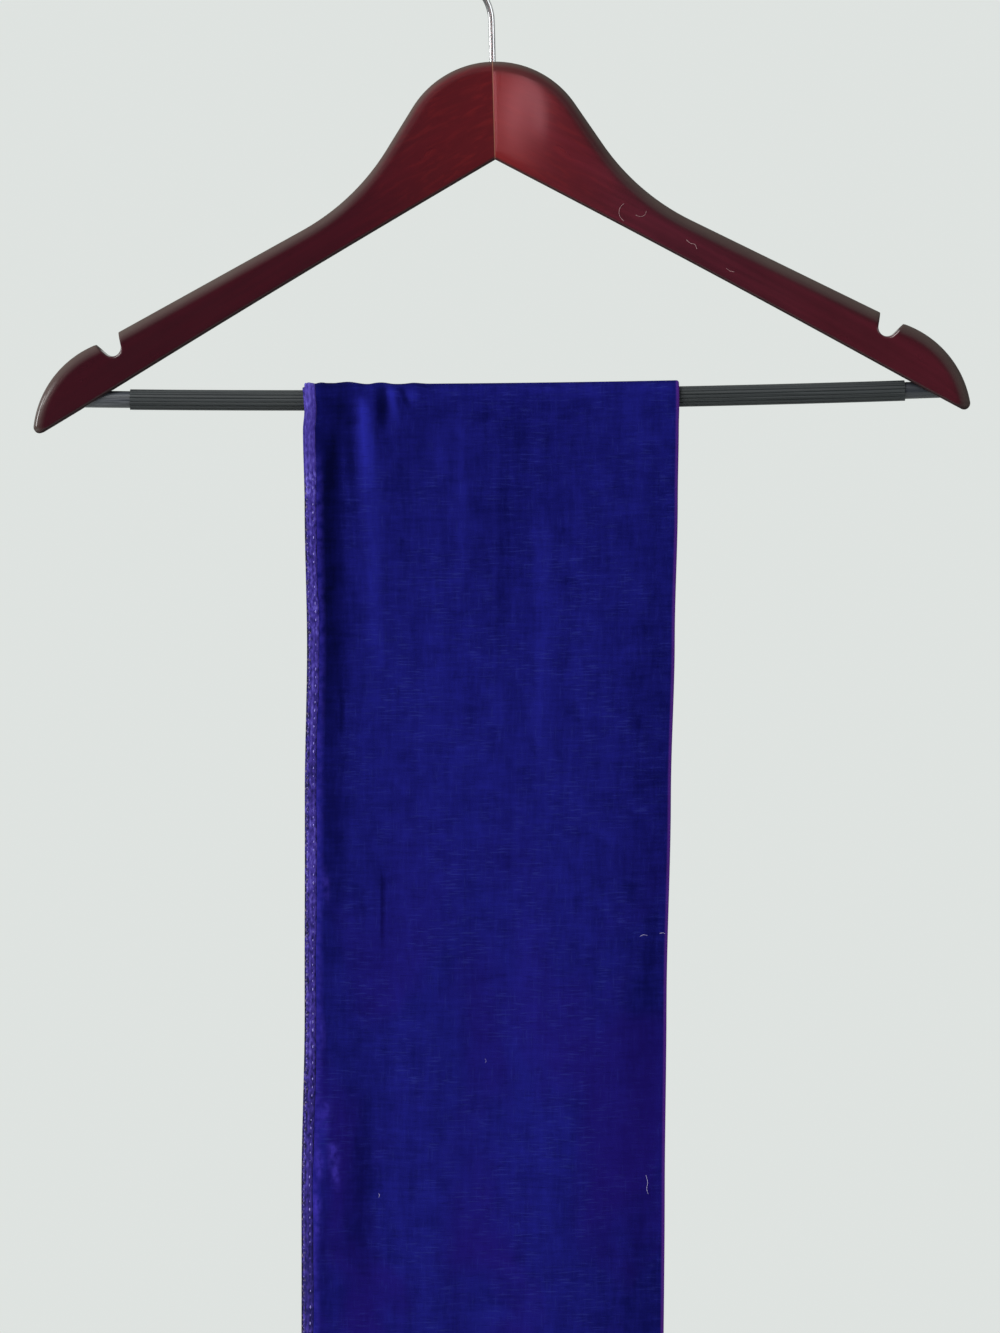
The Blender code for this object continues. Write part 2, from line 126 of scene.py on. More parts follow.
class Graph:
    """Adds nodes to one node tree."""

    def __init__(self, tree: bpy.types.NodeTree) -> None:
        """Starts on a tree."""
        self.tree = tree

    def add(
        self,
        kind: str,
        settings: dict[str, object] | None = None,
        inputs: dict[str | int, object] | None = None,
        output: str | int = 0,
    ) -> Value:
        """Adds any node.

        Args:
            kind: The node's type.
            settings: Its properties, and "stops" for a ramp, set before its sockets.
            inputs: Values or links of its sockets, by name or number.
            output: The output socket that is passed on.

        Returns:
            The chosen output.
        """
        node = self.tree.nodes.new(kind)
        for name, setting in (settings or {}).items():
            if name == "stops":
                self.set_stops(node.color_ramp, setting)
            else:
                setattr(node, name, setting)
        for name, value in (inputs or {}).items():
            self.feed(node.inputs[name], value)
        return Value(self, node.outputs[output])

    @staticmethod
    def set_stops(ramp: bpy.types.ColorRamp, stops: Sequence[tuple[float, Colour]]) -> None:
        """Gives a ramp its stops.

        Args:
            ramp: The ramp, fresh from its node.
            stops: Place and colour of each stop.
        """
        while len(ramp.elements) < len(stops):
            ramp.elements.new(1.0)
        for element, (place, colour) in zip(ramp.elements, stops):
            element.position = place
            element.color = (*colour, 1.0)

    def feed(self, socket: bpy.types.NodeSocket, value: object) -> None:
        """Links a value to a socket or sets it there.

        Args:
            socket: The input socket.
            value: A Value, a number, or a colour or vector as a tuple.
        """
        if isinstance(value, Value):
            self.tree.links.new(value.socket, socket)
        elif isinstance(value, tuple) and socket.type == "RGBA":
            socket.default_value = (*value, 1.0)
        else:
            socket.default_value = value

    def math(self, operation: str, first: Value | float, second: Value | float = 0.0) -> Value:
        """A Math node on one or two numbers."""
        return self.add("ShaderNodeMath", {"operation": operation}, {0: first, 1: second})

    def step(self, value: Value, low: float, high: float) -> Value:
        """Smooth mask that goes from 0 at low to 1 at high, or down where high is below low.

        Args:
            value: The number that is tested.
            low: Where the mask is 0.
            high: Where the mask is 1.

        Returns:
            The mask.
        """
        settings = {"interpolation_type": "SMOOTHSTEP"}
        inputs = {"Value": value, "From Min": low, "From Max": high}
        if low > high:
            inputs = {"Value": value, "From Min": high, "From Max": low, "To Min": 1.0, "To Max": 0.0}
        return self.add("ShaderNodeMapRange", settings, inputs)

    def mix(self, factor: Value | float, first: object, second: object) -> Value:
        """Mix of two colours.

        Args:
            factor: Share of the second colour.
            first: The first colour.
            second: The second colour.

        Returns:
            The mixed colour.
        """
        return self.add("ShaderNodeMix", {"data_type": "RGBA"}, {0: factor, 6: first, 7: second}, 2)

    def attribute(self, name: str) -> Value:
        """A number that the mesh holds at each point."""
        return self.add("ShaderNodeAttribute", {"attribute_name": name}, output="Fac")

    def side(self, vector: Value, axis: str) -> Value:
        """The X, Y or Z of a vector."""
        return self.add("ShaderNodeSeparateXYZ", {}, {0: vector}, axis)

    def place(self) -> Value:
        """Where a point is, in metres, in the object's own frame."""
        return self.add("ShaderNodeTexCoord", output="Object")

    def mapped(self, name: str, scale: float) -> Value:
        """Where a point is on a UV map, in metres."""
        return self.scaled(self.add("ShaderNodeUVMap", {"uv_map": name}), (scale, scale, 0.0))

    def ramp(self, tone: Value, stops: Iterable[float], colours: Iterable[Colour]) -> Value:
        """Colour of a tone, between the colours at the stops."""
        return self.add("ShaderNodeValToRGB", {"stops": tuple(zip(stops, colours))}, {0: tone})

    def scaled(self, vector: Value, scale: Triple) -> Value:
        """A vector with each side multiplied."""
        return self.add("ShaderNodeVectorMath", {"operation": "MULTIPLY"}, {0: vector, 1: scale})

    def noise(self, place: Value, texture: "Texture") -> Value:
        """Smooth noise from 0 to 1.

        Args:
            place: Where, in metres.
            texture: Its sizes.

        Returns:
            The noise.
        """
        inputs = {
            "Vector": self.scaled(place, texture.per_metre),
            "Scale": 1.0,
            "Detail": texture.detail,
            "Distortion": texture.distortion,
        }
        return self.add("ShaderNodeTexNoise", {}, inputs)

    def patches(self, place: Value, texture: "Texture") -> Value:
        """Mask of patches, from 0 where the noise is at its low to 1 at its high."""
        return self.step(self.noise(place, texture), texture.low, texture.high)

    def bump(self, height: Value) -> Value:
        """Normal of a surface raised by a height in metres."""
        return self.add("ShaderNodeBump", {}, {"Height": height, "Distance": 1.0, "Strength": 1.0})


@dataclass(frozen=True)
class Texture:
    """Smooth noise with its own cells a metre along each side, and what it is used for.

    Patches start at low and are full at high. Share is how much it counts, and relief its height.
    """

    per_metre: Triple
    detail: float = 2.0
    distortion: float = 0.0
    low: float = 0.0
    high: float = 1.0
    share: float = 1.0
    relief: float = 0.0


# Finishes


@dataclass(frozen=True)
class Finish:
    """What every finish has: a name, and the constants of its shader."""

    name: str
    roughness: float = 0.5
    metallic: float = 0.0
    specular: float = 0.5
    coat: float = 0.0
    coat_roughness: float = 0.1
    sheen: float = 0.0
    sheen_roughness: float = 0.4
    sheen_tint: Colour = (1.0, 1.0, 1.0)

    def material(self) -> Material:
        """Makes the material.

        Returns:
            A material whose Principled shader has the constants and the finish's own pattern.
        """
        made = bpy.data.materials.new(self.name)
        made.use_nodes = True
        shader = made.node_tree.nodes["Principled BSDF"]
        constants = {
            "Roughness": self.roughness,
            "Metallic": self.metallic,
            "Specular IOR Level": self.specular,
            "Coat Weight": self.coat,
            "Coat Roughness": self.coat_roughness,
            "Sheen Weight": self.sheen,
            "Sheen Roughness": self.sheen_roughness,
            "Sheen Tint": (*self.sheen_tint, 1.0),
        }
        for socket, value in constants.items():
            shader.inputs[socket].default_value = value
        graph = Graph(made.node_tree)
        for socket, value in self.pattern(graph).items():
            graph.feed(shader.inputs[socket], value)
        return made

    def pattern(self, graph: Graph) -> dict[str, Value]:
        """What varies over the surface, by the shader's socket."""
        raise NotImplementedError


@dataclass(frozen=True)
class VelvetFinish(Finish):
    """Short indigo pile over a slubby ground, darker and lighter where the pile lies differently, with
    painted light and shade along its folds.

    The nap_and_shade attribute holds how light the pile lies, with painted light on fold ridges and painted
    shade in troughs and over the bar, and rub says how worn it is.
    """

    deep: Colour = (0.0008, 0.0014, 0.026)
    shade: Colour = (0.0030, 0.0034, 0.070)
    middle: Colour = (0.0066, 0.0070, 0.124)
    light: Colour = (0.0140, 0.0155, 0.245)
    violet: Colour = (0.0125, 0.0042, 0.130)
    slub: Colour = (0.027, 0.037, 0.240)
    knot: Colour = (0.0016, 0.0022, 0.048)
    # Violet at the fold's edge: a painted rim sheen of the pile seen edge-on, with the violet ground
    # showing through
    rim: Colour = (0.150, 0.035, 0.330)
    smudge: Colour = (0.050, 0.034, 0.400)
    cloth_scale: float = 1.0
    fold_at: float = 0.0
    fold_reach: float = 1.9 * MM
    fold_share: float = 0.75
    top_of_bar: float = 0.0
    haze_start: float = 160.0 * MM
    haze_full: float = 400.0 * MM
    middle_tone: float = 0.5
    nap_and_shade_share: float = 0.42
    stops: tuple[float, ...] = (0.06, 0.34, 0.54, 0.96)
    threads_hidden_tone: float = 0.24
    threads_shown_tone: float = 0.60
    thread_share: float = 0.28
    broad: Texture = Texture((16.0, 6.0, 1.0), share=0.28)
    streaks: Texture = Texture((160.0, 6.0, 1.0), share=0.16)
    cloudy: Texture = Texture((105.0, 85.0, 1.0), 4.0, 0.4, share=0.36)
    grain: Texture = Texture((1500.0, 1500.0, 1.0), share=0.16)
    ribs: Texture = Texture((60.0, 480.0, 1.0), 3.0, share=0.24)
    cords: Texture = Texture((520.0, 70.0, 1.0), 3.0, share=0.22)
    haze: Texture = Texture((20.0, 11.0, 1.0), 3.0, 0.6, low=0.40, high=0.66, share=0.55)
    weft: Texture = Texture((120.0, 1250.0, 1.0), 1.0, low=0.54, high=0.70, relief=0.03 * MM)
    weft_areas: Texture = Texture((34.0, 30.0, 1.0), low=0.36, high=0.62)
    warp: Texture = Texture((1150.0, 110.0, 1.0), 1.0, low=0.58, high=0.80, share=0.6, relief=0.02 * MM)
    gaps: Texture = Texture((150.0, 1100.0, 1.0), 1.0, low=0.42, high=0.24, share=0.25)
    rubbing: Texture = Texture((300.0, 260.0, 1.0), low=0.22, high=0.72)
    pile: Texture = Texture((2600.0, 1700.0, 1.0), relief=0.10 * MM)
    uneven: Texture = Texture((95.0, 40.0, 1.0), relief=0.22 * MM)

    def pattern(self, graph: Graph) -> dict[str, Value]:
        """Pile lay with painted light and shade, slubs, haze and pile, on the cloth's own UV map and its
        nap_and_shade attribute.

        Args:
            graph: The material's tree.

        Returns:
            What varies, by the shader's socket.
        """
        place = graph.mapped("cloth", self.cloth_scale)
        # Tone from the pile's lay, with painted light on fold ridges and painted shade in troughs and where
        # the cloth turns over the bar
        tone = self.middle_tone + graph.attribute("nap_and_shade") * self.nap_and_shade_share
        for texture in (self.broad, self.streaks, self.cloudy, self.grain, self.ribs, self.cords):
            tone = tone + (graph.noise(place, texture) - 0.5) * texture.share
        colour = graph.ramp(tone, self.stops, (self.deep, self.shade, self.middle, self.light))

        across, along = graph.side(place, "X"), graph.side(place, "Y")
        far_down = graph.step(abs(along - self.top_of_bar), self.haze_start, self.haze_full)
        hazy = graph.patches(place, self.haze) * far_down
        colour = graph.mix(hazy * self.haze.share, colour, self.violet)
        weft, warp = graph.patches(place, self.weft), graph.patches(place, self.warp)
        crossing = weft * graph.patches(place, self.weft_areas)
        threads = graph.math("MAXIMUM", crossing, warp * self.warp.share)
        # Slub threads show only where the tone is light, so they follow the painted light as well
        showing = threads * graph.step(tone, self.threads_hidden_tone, self.threads_shown_tone)
        colour = graph.mix(showing * self.thread_share, colour, self.slub)
        colour = graph.mix(graph.patches(place, self.gaps) * self.gaps.share, colour, self.knot)
        rubbed = graph.attribute("rub") * graph.patches(place, self.rubbing)
        colour = graph.mix(rubbed, colour, self.smudge)
        # Painted rim sheen along the fold, with the violet ground showing through
        near_fold = graph.step(abs(across - self.fold_at), self.fold_reach, 0.0)
        colour = graph.mix(near_fold * self.fold_share, colour, self.rim)

        height = graph.noise(place, self.pile) * self.pile.relief + weft * self.weft.relief
        height = height + warp * self.warp.relief + graph.noise(place, self.uneven) * self.uneven.relief
        return {"Base Color": colour, "Normal": graph.bump(height)}


@dataclass(frozen=True)
class HemFinish(Finish):
    """The turned hem: the smooth violet back of the cloth, gathered a little at each stitch.

    The band attribute is its tone across the section, with painted highlights on the roll's crests and
    painted shade under the roll, and length_tone makes it lighter near the bar and darker further down.
    """

    edge: Colour = (0.0045, 0.0040, 0.030)
    speck: Colour = (0.170, 0.135, 0.190)
    dark: Colour = (0.0085, 0.0060, 0.095)
    middle: Colour = (0.043, 0.027, 0.260)
    light: Colour = (0.140, 0.112, 0.550)
    cloth_scale: float = 1.0
    top_of_bar: float = 0.0
    smooth_length: float = 40.0 * MM
    mottled_reach: float = 8.0 * MM
    stops: tuple[float, ...] = (0.04, 0.24, 0.56, 0.98)
    length_tone_contrast: float = 1.8
    smooth_knots: float = 0.55
    roll_start: float = 0.40
    roll_full: float = 0.24
    worn: Texture = Texture((90.0, 24.0, 1.0), 3.0, share=0.55, relief=0.10 * MM)
    threads: Texture = Texture((1300.0, 260.0, 1.0), share=0.45, relief=0.06 * MM)
    knots: Texture = Texture((700.0, 330.0, 1.0), share=0.85, relief=0.22 * MM)
    specks: Texture = Texture((1100.0, 620.0, 1.0), 1.0, low=0.54, high=0.70, share=0.8)

    def pattern(self, graph: Graph) -> dict[str, Value]:
        """Lengthwise strips, smooth near the bar and mottled further down.

        Args:
            graph: The material's tree.

        Returns:
            What varies, by the shader's socket.
        """
        place = graph.mapped("cloth", self.cloth_scale)
        below = abs(graph.side(place, "Y") - self.top_of_bar)
        mottled = graph.step(below, self.smooth_length, self.smooth_length + self.mottled_reach)
        # band holds the section's tone: the violet back, with painted highlights on the roll's crests and
        # painted shade under the roll
        band, length_tone = graph.attribute("band"), graph.attribute("length_tone")
        worn, threads = graph.noise(place, self.worn), graph.noise(place, self.threads)
        knots = graph.noise(place, self.knots)
        contrast = length_tone * self.length_tone_contrast + 1.0
        fine = (worn - 0.5) * self.worn.share + (threads - 0.5) * self.threads.share
        tone = band + length_tone + fine * contrast
        tone = tone + (knots - 0.5) * (mottled * self.knots.share + self.smooth_knots) * contrast
        colour = graph.ramp(tone, self.stops, (self.edge, self.dark, self.middle, self.light))
        outer_roll = graph.step(band, self.roll_start, self.roll_full) * mottled
        specks = graph.patches(place, self.specks)
        colour = graph.mix(specks * outer_roll * self.specks.share, colour, self.speck)
        height = threads * self.threads.relief + knots * self.knots.relief + worn * self.worn.relief
        return {"Base Color": colour, "Normal": graph.bump(height)}


@dataclass(frozen=True)
class ThreadFinish(Finish):
    """Twisted sewing thread, or a loose fibre."""

    dark: Colour = (0.075, 0.058, 0.33)
    light: Colour = (0.31, 0.27, 0.74)
    twist: Texture = Texture((1800.0, 1800.0, 1800.0), 1.0, share=0.6)
    areas: Texture = Texture((60.0, 60.0, 60.0), share=0.4)
    tone_ends: Pair = (0.34, 0.66)

    def pattern(self, graph: Graph) -> dict[str, Value]:
        """Fine twist, light and dark by turns.

        Args:
            graph: The material's tree.

        Returns:
            What varies, by the shader's socket.
        """
        place = graph.place()
        twist, areas = graph.noise(place, self.twist), graph.noise(place, self.areas)
        tone = graph.step(twist * self.twist.share + areas * self.areas.share, *self.tone_ends)
        return {"Base Color": graph.mix(tone, self.dark, self.light)}


@dataclass(frozen=True)
class LacquerFinish(Finish):
    """Dark mahogany stain under gloss lacquer, with a flame near the middle joint, a dull rim with a
    painted grey reflection, and painted shade at the tips and the lower edge.

    The rim attribute runs from 0 well inside the face to 1 at the top edge, and foot does so at the
    lower edge.
    """

    deep: Colour = (0.026, 0.0018, 0.0062)
    body: Colour = (0.062, 0.0028, 0.0095)
    flame: Colour = (0.200, 0.013, 0.013)
    # Near-black of the painted shadow line inside the rim and of the painted shade on the lower edge
    edge: Colour = (0.012, 0.004, 0.005)
    # Grey-brown of the painted reflection on the rounded top edge
    rim: Colour = (0.066, 0.050, 0.044)
    glue: Colour = (0.42, 0.20, 0.13)
    warm_joint: float = 0.26
    warm_seam: float = 0.0
    warm_tip: float = 0.0
    # Share of painted shade that darkens the tip
    tip_shade: float = 0.0
    shadow_line: float = 0.0
    glossy_tip: float = 0.0
    board_scale: float = 1.0
    seam_reach: float = 0.34 * MM
    seam_share: float = 0.55
    middle_tone: float = 0.42
    tone_ends: Pair = (0.05, 0.95)
    joint_reach: float = 85.0 * MM
    seam_glow: float = 30.0 * MM
    warm_tip_ends: Pair = (100.0 * MM, 220.0 * MM)
    tip_shade_ends: Pair = (90.0 * MM, 200.0 * MM)
    glossy_tip_ends: Pair = (226.0 * MM, 240.0 * MM)
    shadow_ends: Pair = (0.08, 0.60)
    wide_rim: Pair = (0.28, 0.98)
    narrow_rim: Pair = (0.58, 0.98)
    narrow_ends: Pair = (85.0 * MM, 35.0 * MM)
    rubbed_rim: Pair = (0.30, 0.62)
    least_rim: float = 0.6
    foot_ends: Pair = (0.20, 0.85)
    lower_edge_shade_share: float = 0.85
    dull_gain: float = 0.42
    grain: Texture = Texture((16.0, 330.0, 1.0), 4.0, 0.35, share=0.55, relief=0.010 * MM)
    blotch: Texture = Texture((22.0, 46.0, 1.0), 3.0, share=0.55, relief=0.05 * MM)
    figure: Texture = Texture((100.0, 420.0, 1.0), 3.0, 0.7, low=0.46, high=0.72, share=0.26)
    pores: Texture = Texture((110.0, 1700.0, 1.0), 1.0, low=0.66, high=0.80, share=0.30)
    # Patchiness of the painted reflection on the rim
    worn: Texture = Texture((60.0, 200.0, 1.0), share=0.5)
    dulled: Texture = Texture((35.0, 80.0, 1.0), 3.0, share=0.10)

    def pattern(self, graph: Graph) -> dict[str, Value]:
        """Grain along the board's own UV map, in metres along and across.

        Args:
            graph: The material's tree.

        Returns:
            What varies, by the shader's socket.
        """
        board = graph.mapped("board", self.board_scale)
        along = graph.side(board, "X")
        grain, blotch = graph.noise(board, self.grain), graph.noise(board, self.blotch)
        tone = self.middle_tone + (grain - 0.5) * self.grain.share + (blotch - 0.5) * self.blotch.share
        colour = graph.mix(graph.step(tone, *self.tone_ends), self.deep, self.body)
        colour = self.warmed(graph, board, along, colour)
        rim, foot = graph.attribute("rim"), graph.attribute("foot")
        colour = graph.mix(graph.step(rim, *self.shadow_ends) * self.shadow_line, colour, self.edge)
        # Painted grey reflection on the rounded top edge
        colour = self.painted_rim_reflection(graph, board, along, colour)
        # Painted shade on the downward-facing lower edge, which is also dulled
        shaded_lower_edge = graph.step(foot, *self.foot_ends)
        colour = graph.mix(shaded_lower_edge * self.lower_edge_shade_share, colour, self.edge)
        colour = self.glued(graph, colour)
        glossy = graph.step(along, *self.glossy_tip_ends) * self.glossy_tip
        rubbed = graph.step(rim, *self.rubbed_rim) * (1.0 - glossy)
        dull = graph.math("MAXIMUM", rubbed, shaded_lower_edge)
        dulled = graph.noise(board, self.dulled)
        height = grain * self.grain.relief + blotch * self.blotch.relief
        return {
            "Base Color": colour,
            "Roughness": self.roughness + dulled * self.dulled.share + dull * self.dull_gain,
            "Coat Weight": self.coat * (1.0 - dull),
            "Normal": graph.bump(height),
        }

    def warmed(self, graph: Graph, board: Value, along: Value, colour: Value) -> Value:
        """Flame and warmth near the joint, pores, a warmer tone near the tip, and painted shade that
        darkens the tip.

        Args:
            graph: The material's tree.
            board: Place on the board.
            along: Place along the board.
            colour: The stain so far.

        Returns:
            The new colour.
        """
        near_joint = graph.step(along, self.joint_reach, 0.0)
        flame = graph.patches(board, self.figure) * near_joint
        colour = graph.mix(flame * self.figure.share, colour, self.flame)
        warm = near_joint * self.warm_joint + graph.step(along, self.seam_glow, 0.0) * self.warm_seam
        near_tip = graph.step(along, *self.warm_tip_ends) * self.warm_tip
        colour = graph.mix(warm + near_tip, colour, self.flame)
        colour = graph.mix(graph.patches(board, self.pores) * self.pores.share, colour, self.deep)
        # Painted shade: darker towards the tip
        return graph.mix(graph.step(along, *self.tip_shade_ends) * self.tip_shade, colour, self.deep)

    def painted_rim_reflection(self, graph: Graph, board: Value, along: Value, colour: Value) -> Value:
        """Painted grey reflection on the rounded top edge, patchy and narrower over the hump.

        Args:
            graph: The material's tree.
            board: Place on the board.
            along: Place along the board.
            colour: The stain so far.

        Returns:
            The new colour.
        """
        rim = graph.attribute("rim")
        wide, narrow = graph.step(rim, *self.wide_rim), graph.step(rim, *self.narrow_rim)
        width = wide + (narrow - wide) * graph.step(along, *self.narrow_ends)
        # How strongly the painted reflection shows, patchy along the rim
        worn = graph.noise(board, self.worn) * self.worn.share + self.least_rim
        return graph.mix(width * worn, colour, self.rim)

    def glued(self, graph: Graph, colour: Value) -> Value:
        """Pale glue line at the seam, which leans as the hanger does.

        Args:
            graph: The material's tree.
            colour: The stain so far.

        Returns:
            The new colour.
        """
        place = graph.place()
        level = graph.side(place, "X") * math.cos(HANGER.lean)
        off_seam = abs(level + graph.side(place, "Z") * math.sin(HANGER.lean))
        seam = graph.step(off_seam, self.seam_reach, 0.0)
        return graph.mix(seam * self.seam_share, colour, self.glue)


@dataclass(frozen=True)
class SleeveFinish(Finish):
    """Matt extruded rubber, drawn out lengthwise."""

    dark: Colour = (0.012, 0.016, 0.018)
    light: Colour = (0.032, 0.038, 0.041)
    drawn: Texture = Texture((14.0, 900.0, 900.0), 3.0, share=0.75, relief=0.05 * MM)
    skin: Texture = Texture((2200.0, 2200.0, 2200.0), share=0.25, relief=0.02 * MM)
    tone_ends: Pair = (0.30, 0.72)
    unevenness: float = 0.16

    def pattern(self, graph: Graph) -> dict[str, Value]:
        """Long draw marks and a fine skin.

        Args:
            graph: The material's tree.

        Returns:
            What varies, by the shader's socket.
        """
        place = graph.place()
        drawn, skin = graph.noise(place, self.drawn), graph.noise(place, self.skin)
        tone = graph.step(drawn * self.drawn.share + skin * self.skin.share, *self.tone_ends)
        return {
            "Base Color": graph.mix(tone, self.dark, self.light),
            "Roughness": self.roughness + (skin - 0.5) * self.unevenness,
            "Normal": graph.bump(skin * self.skin.relief + drawn * self.drawn.relief),
        }


@dataclass(frozen=True)
class RodFinish(Finish):
    """Satin slate paint, rubbed lengthwise where the sleeve was pushed on, more so on the left."""

    dark: Colour = (0.026, 0.030, 0.038)
    light: Colour = (0.078, 0.085, 0.100)
    rubbing: Texture = Texture((60.0, 1300.0, 1300.0), 3.0, share=0.3, relief=0.02 * MM)
    tone_ends: Pair = (0.40, 0.66)
    dark_from: float = 0.0
    dark_at: float = 100.0 * MM
    dark_share: float = 0.14

    def pattern(self, graph: Graph) -> dict[str, Value]:
        """Rub marks along the rod.

        Args:
            graph: The material's tree.

        Returns:
            What varies, by the shader's socket.
        """
        place = graph.place()
        to_right = graph.step(graph.side(place, "X"), self.dark_from, self.dark_at)
        rubbed = graph.noise(place, self.rubbing) - to_right * self.dark_share
        return {
            "Base Color": graph.mix(graph.step(rubbed, *self.tone_ends), self.dark, self.light),
            "Roughness": self.roughness + (rubbed - 0.5) * self.rubbing.share,
            "Normal": graph.bump(rubbed * self.rubbing.relief),
        }


@dataclass(frozen=True)
class WireFinish(Finish):
    """Bright plated steel with faint draw lines."""

    bright: Colour = (0.80, 0.80, 0.81)
    dull: Colour = (0.56, 0.56, 0.58)
    drawn: Texture = Texture((2600.0, 2600.0, 60.0), relief=0.006 * MM)
    areas: Texture = Texture((120.0, 120.0, 90.0), 3.0, share=0.10)
    tone_ends: Pair = (0.45, 0.75)

    def pattern(self, graph: Graph) -> dict[str, Value]:
        """Faint draw lines and duller patches.

        Args:
            graph: The material's tree.

        Returns:
            What varies, by the shader's socket.
        """
        place = graph.place()
        drawn, areas = graph.noise(place, self.drawn), graph.noise(place, self.areas)
        return {
            "Base Color": graph.mix(graph.step(areas, *self.tone_ends), self.bright, self.dull),
            "Roughness": self.roughness + areas * self.areas.share,
            "Normal": graph.bump(drawn * self.drawn.relief),
        }


@dataclass(frozen=True)
class FloorFinish(Finish):
    """Plain pale floor."""

    pale: Colour = (0.72, 0.75, 0.735)
    darker: float = 0.96
    cloudy: Texture = Texture((1.5, 1.5, 1.5))

    def pattern(self, graph: Graph) -> dict[str, Value]:
        """Barely uneven.

        Args:
            graph: The material's tree.

        Returns:
            What varies, by the shader's socket.
        """
        dim = tuple(self.darker * part for part in self.pale)
        return {"Base Color": graph.mix(graph.noise(graph.place(), self.cloudy), self.pale, dim)}


# Meshes


def grid_faces(rows: int, columns: int, start: int = 0, flip: bool = False) -> list[tuple[int, ...]]:
    """Quads of a grid of vertices, numbered row by row.

    Args:
        rows: Rows of vertices.
        columns: Vertices in a row.
        start: Number of the first vertex.
        flip: Whether the faces look the other way.

    Returns:
        The faces.
    """
    faces = []
    for row in range(rows - 1):
        for column in range(columns - 1):
            near = start + row * columns + column
            quad = (near, near + 1, near + columns + 1, near + columns)
            faces.append(quad[::-1] if flip else quad)
    return faces


def grid_border(rows: int, columns: int) -> list[int]:
    """Vertex numbers round a grid, in order.

    Args:
        rows: Rows of vertices.
        columns: Vertices in a row.

    Returns:
        The numbers, once round.
    """
    bottom = [row * columns for row in range(rows)]
    top = [row * columns + columns - 1 for row in range(rows)]
    first = list(range(1, columns - 1))
    last = [(rows - 1) * columns + column for column in range(1, columns - 1)]
    return bottom + last + top[::-1] + first[::-1]


def spaced(start: float, stretches: Iterable[tuple[float, int]]) -> Array:
    """Places from a start on, evenly apart in each stretch.

    Args:
        start: The first place.
        stretches: Where each stretch stops, and its number of steps.

    Returns:
        The places.
    """
    places = [np.array([start])]
    for stop, steps in stretches:
        places.append(np.linspace(places[-1][-1], stop, steps + 1)[1:])
    return np.concatenate(places)


def mesh_piece(
    name: str,
    vertices: Array,
    faces: Iterable[tuple[int, ...]],
    finish: Material,
    uv: tuple[str, Array] | None = None,
    numbers: dict[str, Array] | None = None,
) -> Object:
    """Makes a smooth mesh object at the origin, with its faces pointing outwards.

    Args:
        name: Name of the piece.
        vertices: Places, three numbers a vertex.
        faces: Vertex numbers of each face.
        finish: Its material.
        uv: Name of a UV map and two numbers a vertex.
        numbers: Named attributes with one number a vertex.

    Returns:
        The object, linked to the scene.
    """
    mesh = bpy.data.meshes.new(name)
    mesh.from_pydata(np.asarray(vertices, float).tolist(), [], list(faces))
    if uv:
        layer = mesh.uv_layers.new(name=uv[0])
        corners = np.zeros(len(mesh.loops), dtype=np.int32)
        mesh.loops.foreach_get("vertex_index", corners)
        layer.data.foreach_set("uv", np.asarray(uv[1], np.float32)[corners].ravel())
    for label, values in (numbers or {}).items():
        attribute = mesh.attributes.new(label, "FLOAT", "POINT")
        attribute.data.foreach_set("value", np.asarray(values, np.float32).ravel())
    work = bmesh.new()
    work.from_mesh(mesh)
    bmesh.ops.recalc_face_normals(work, faces=work.faces)
    work.to_mesh(mesh)
    work.free()
    mesh.materials.append(finish)
    mesh.shade_smooth()
    piece = bpy.data.objects.new(name, mesh)
    bpy.context.scene.collection.objects.link(piece)
    return piece


def shell_piece(
    name: str,
    sides: Sequence[Array],
    grid: tuple[int, int],
    finish: Material,
    uv: tuple[str, Array],
    numbers: dict[str, Array],
) -> Object:
    """Makes a closed shell between two grids of vertices.

    Args:
        name: Name of the piece.
        sides: Vertices of the front grid and of the back grid.
        grid: Rows and columns of each grid.
        finish: Its material.
        uv: Name of a UV map and two numbers a vertex of one grid.
        numbers: Named attributes with one number a vertex of one grid.

    Returns:
        The object, linked to the scene.
    """
    count = len(sides[0])
    faces = grid_faces(*grid) + grid_faces(*grid, count, flip=True)
    border = grid_border(*grid)
    faces += [(a, b, b + count, a + count) for a, b in zip(border, border[1:] + border[:1])]
    places = (uv[0], np.concatenate([uv[1], uv[1]]))
    both = {label: np.concatenate([values, values]) for label, values in numbers.items()}
    return mesh_piece(name, np.concatenate(sides), faces, finish, places, both)


def guide_curve(name: str, *lines: Array) -> Object:
    """A bare poly curve through one or more rows of points, for others to follow.

    Args:
        name: Name of the curve.
        lines: Rows of places, three numbers a point.

    Returns:
        The curve object, linked to the scene.
    """
    curve = bpy.data.curves.new(name, "CURVE")
    curve.dimensions = "3D"
    for line in lines:
        spline = curve.splines.new("POLY")
        spline.points.add(len(line) - 1)
        for knot, point in zip(spline.points, line):
            knot.co = (*point, 1.0)
    guide = bpy.data.objects.new(name, curve)
    bpy.context.scene.collection.objects.link(guide)
    return guide


def plain_mesh(name: str, source: Object) -> Object:
    """Turns what an object evaluates to into a plain mesh object, and removes the source.

    Args:
        name: Name of the new piece.
        source: A curve, or an object with modifiers, at the origin.

    Returns:
        The new object, with no modifiers.
    """
    bpy.context.view_layer.update()
    depsgraph = bpy.context.evaluated_depsgraph_get()
    mesh = bpy.data.meshes.new_from_object(source.evaluated_get(depsgraph))
    mesh.name = name
    bpy.data.objects.remove(source, do_unlink=True)
    piece = bpy.data.objects.new(name, mesh)
    bpy.context.scene.collection.objects.link(piece)
    return piece


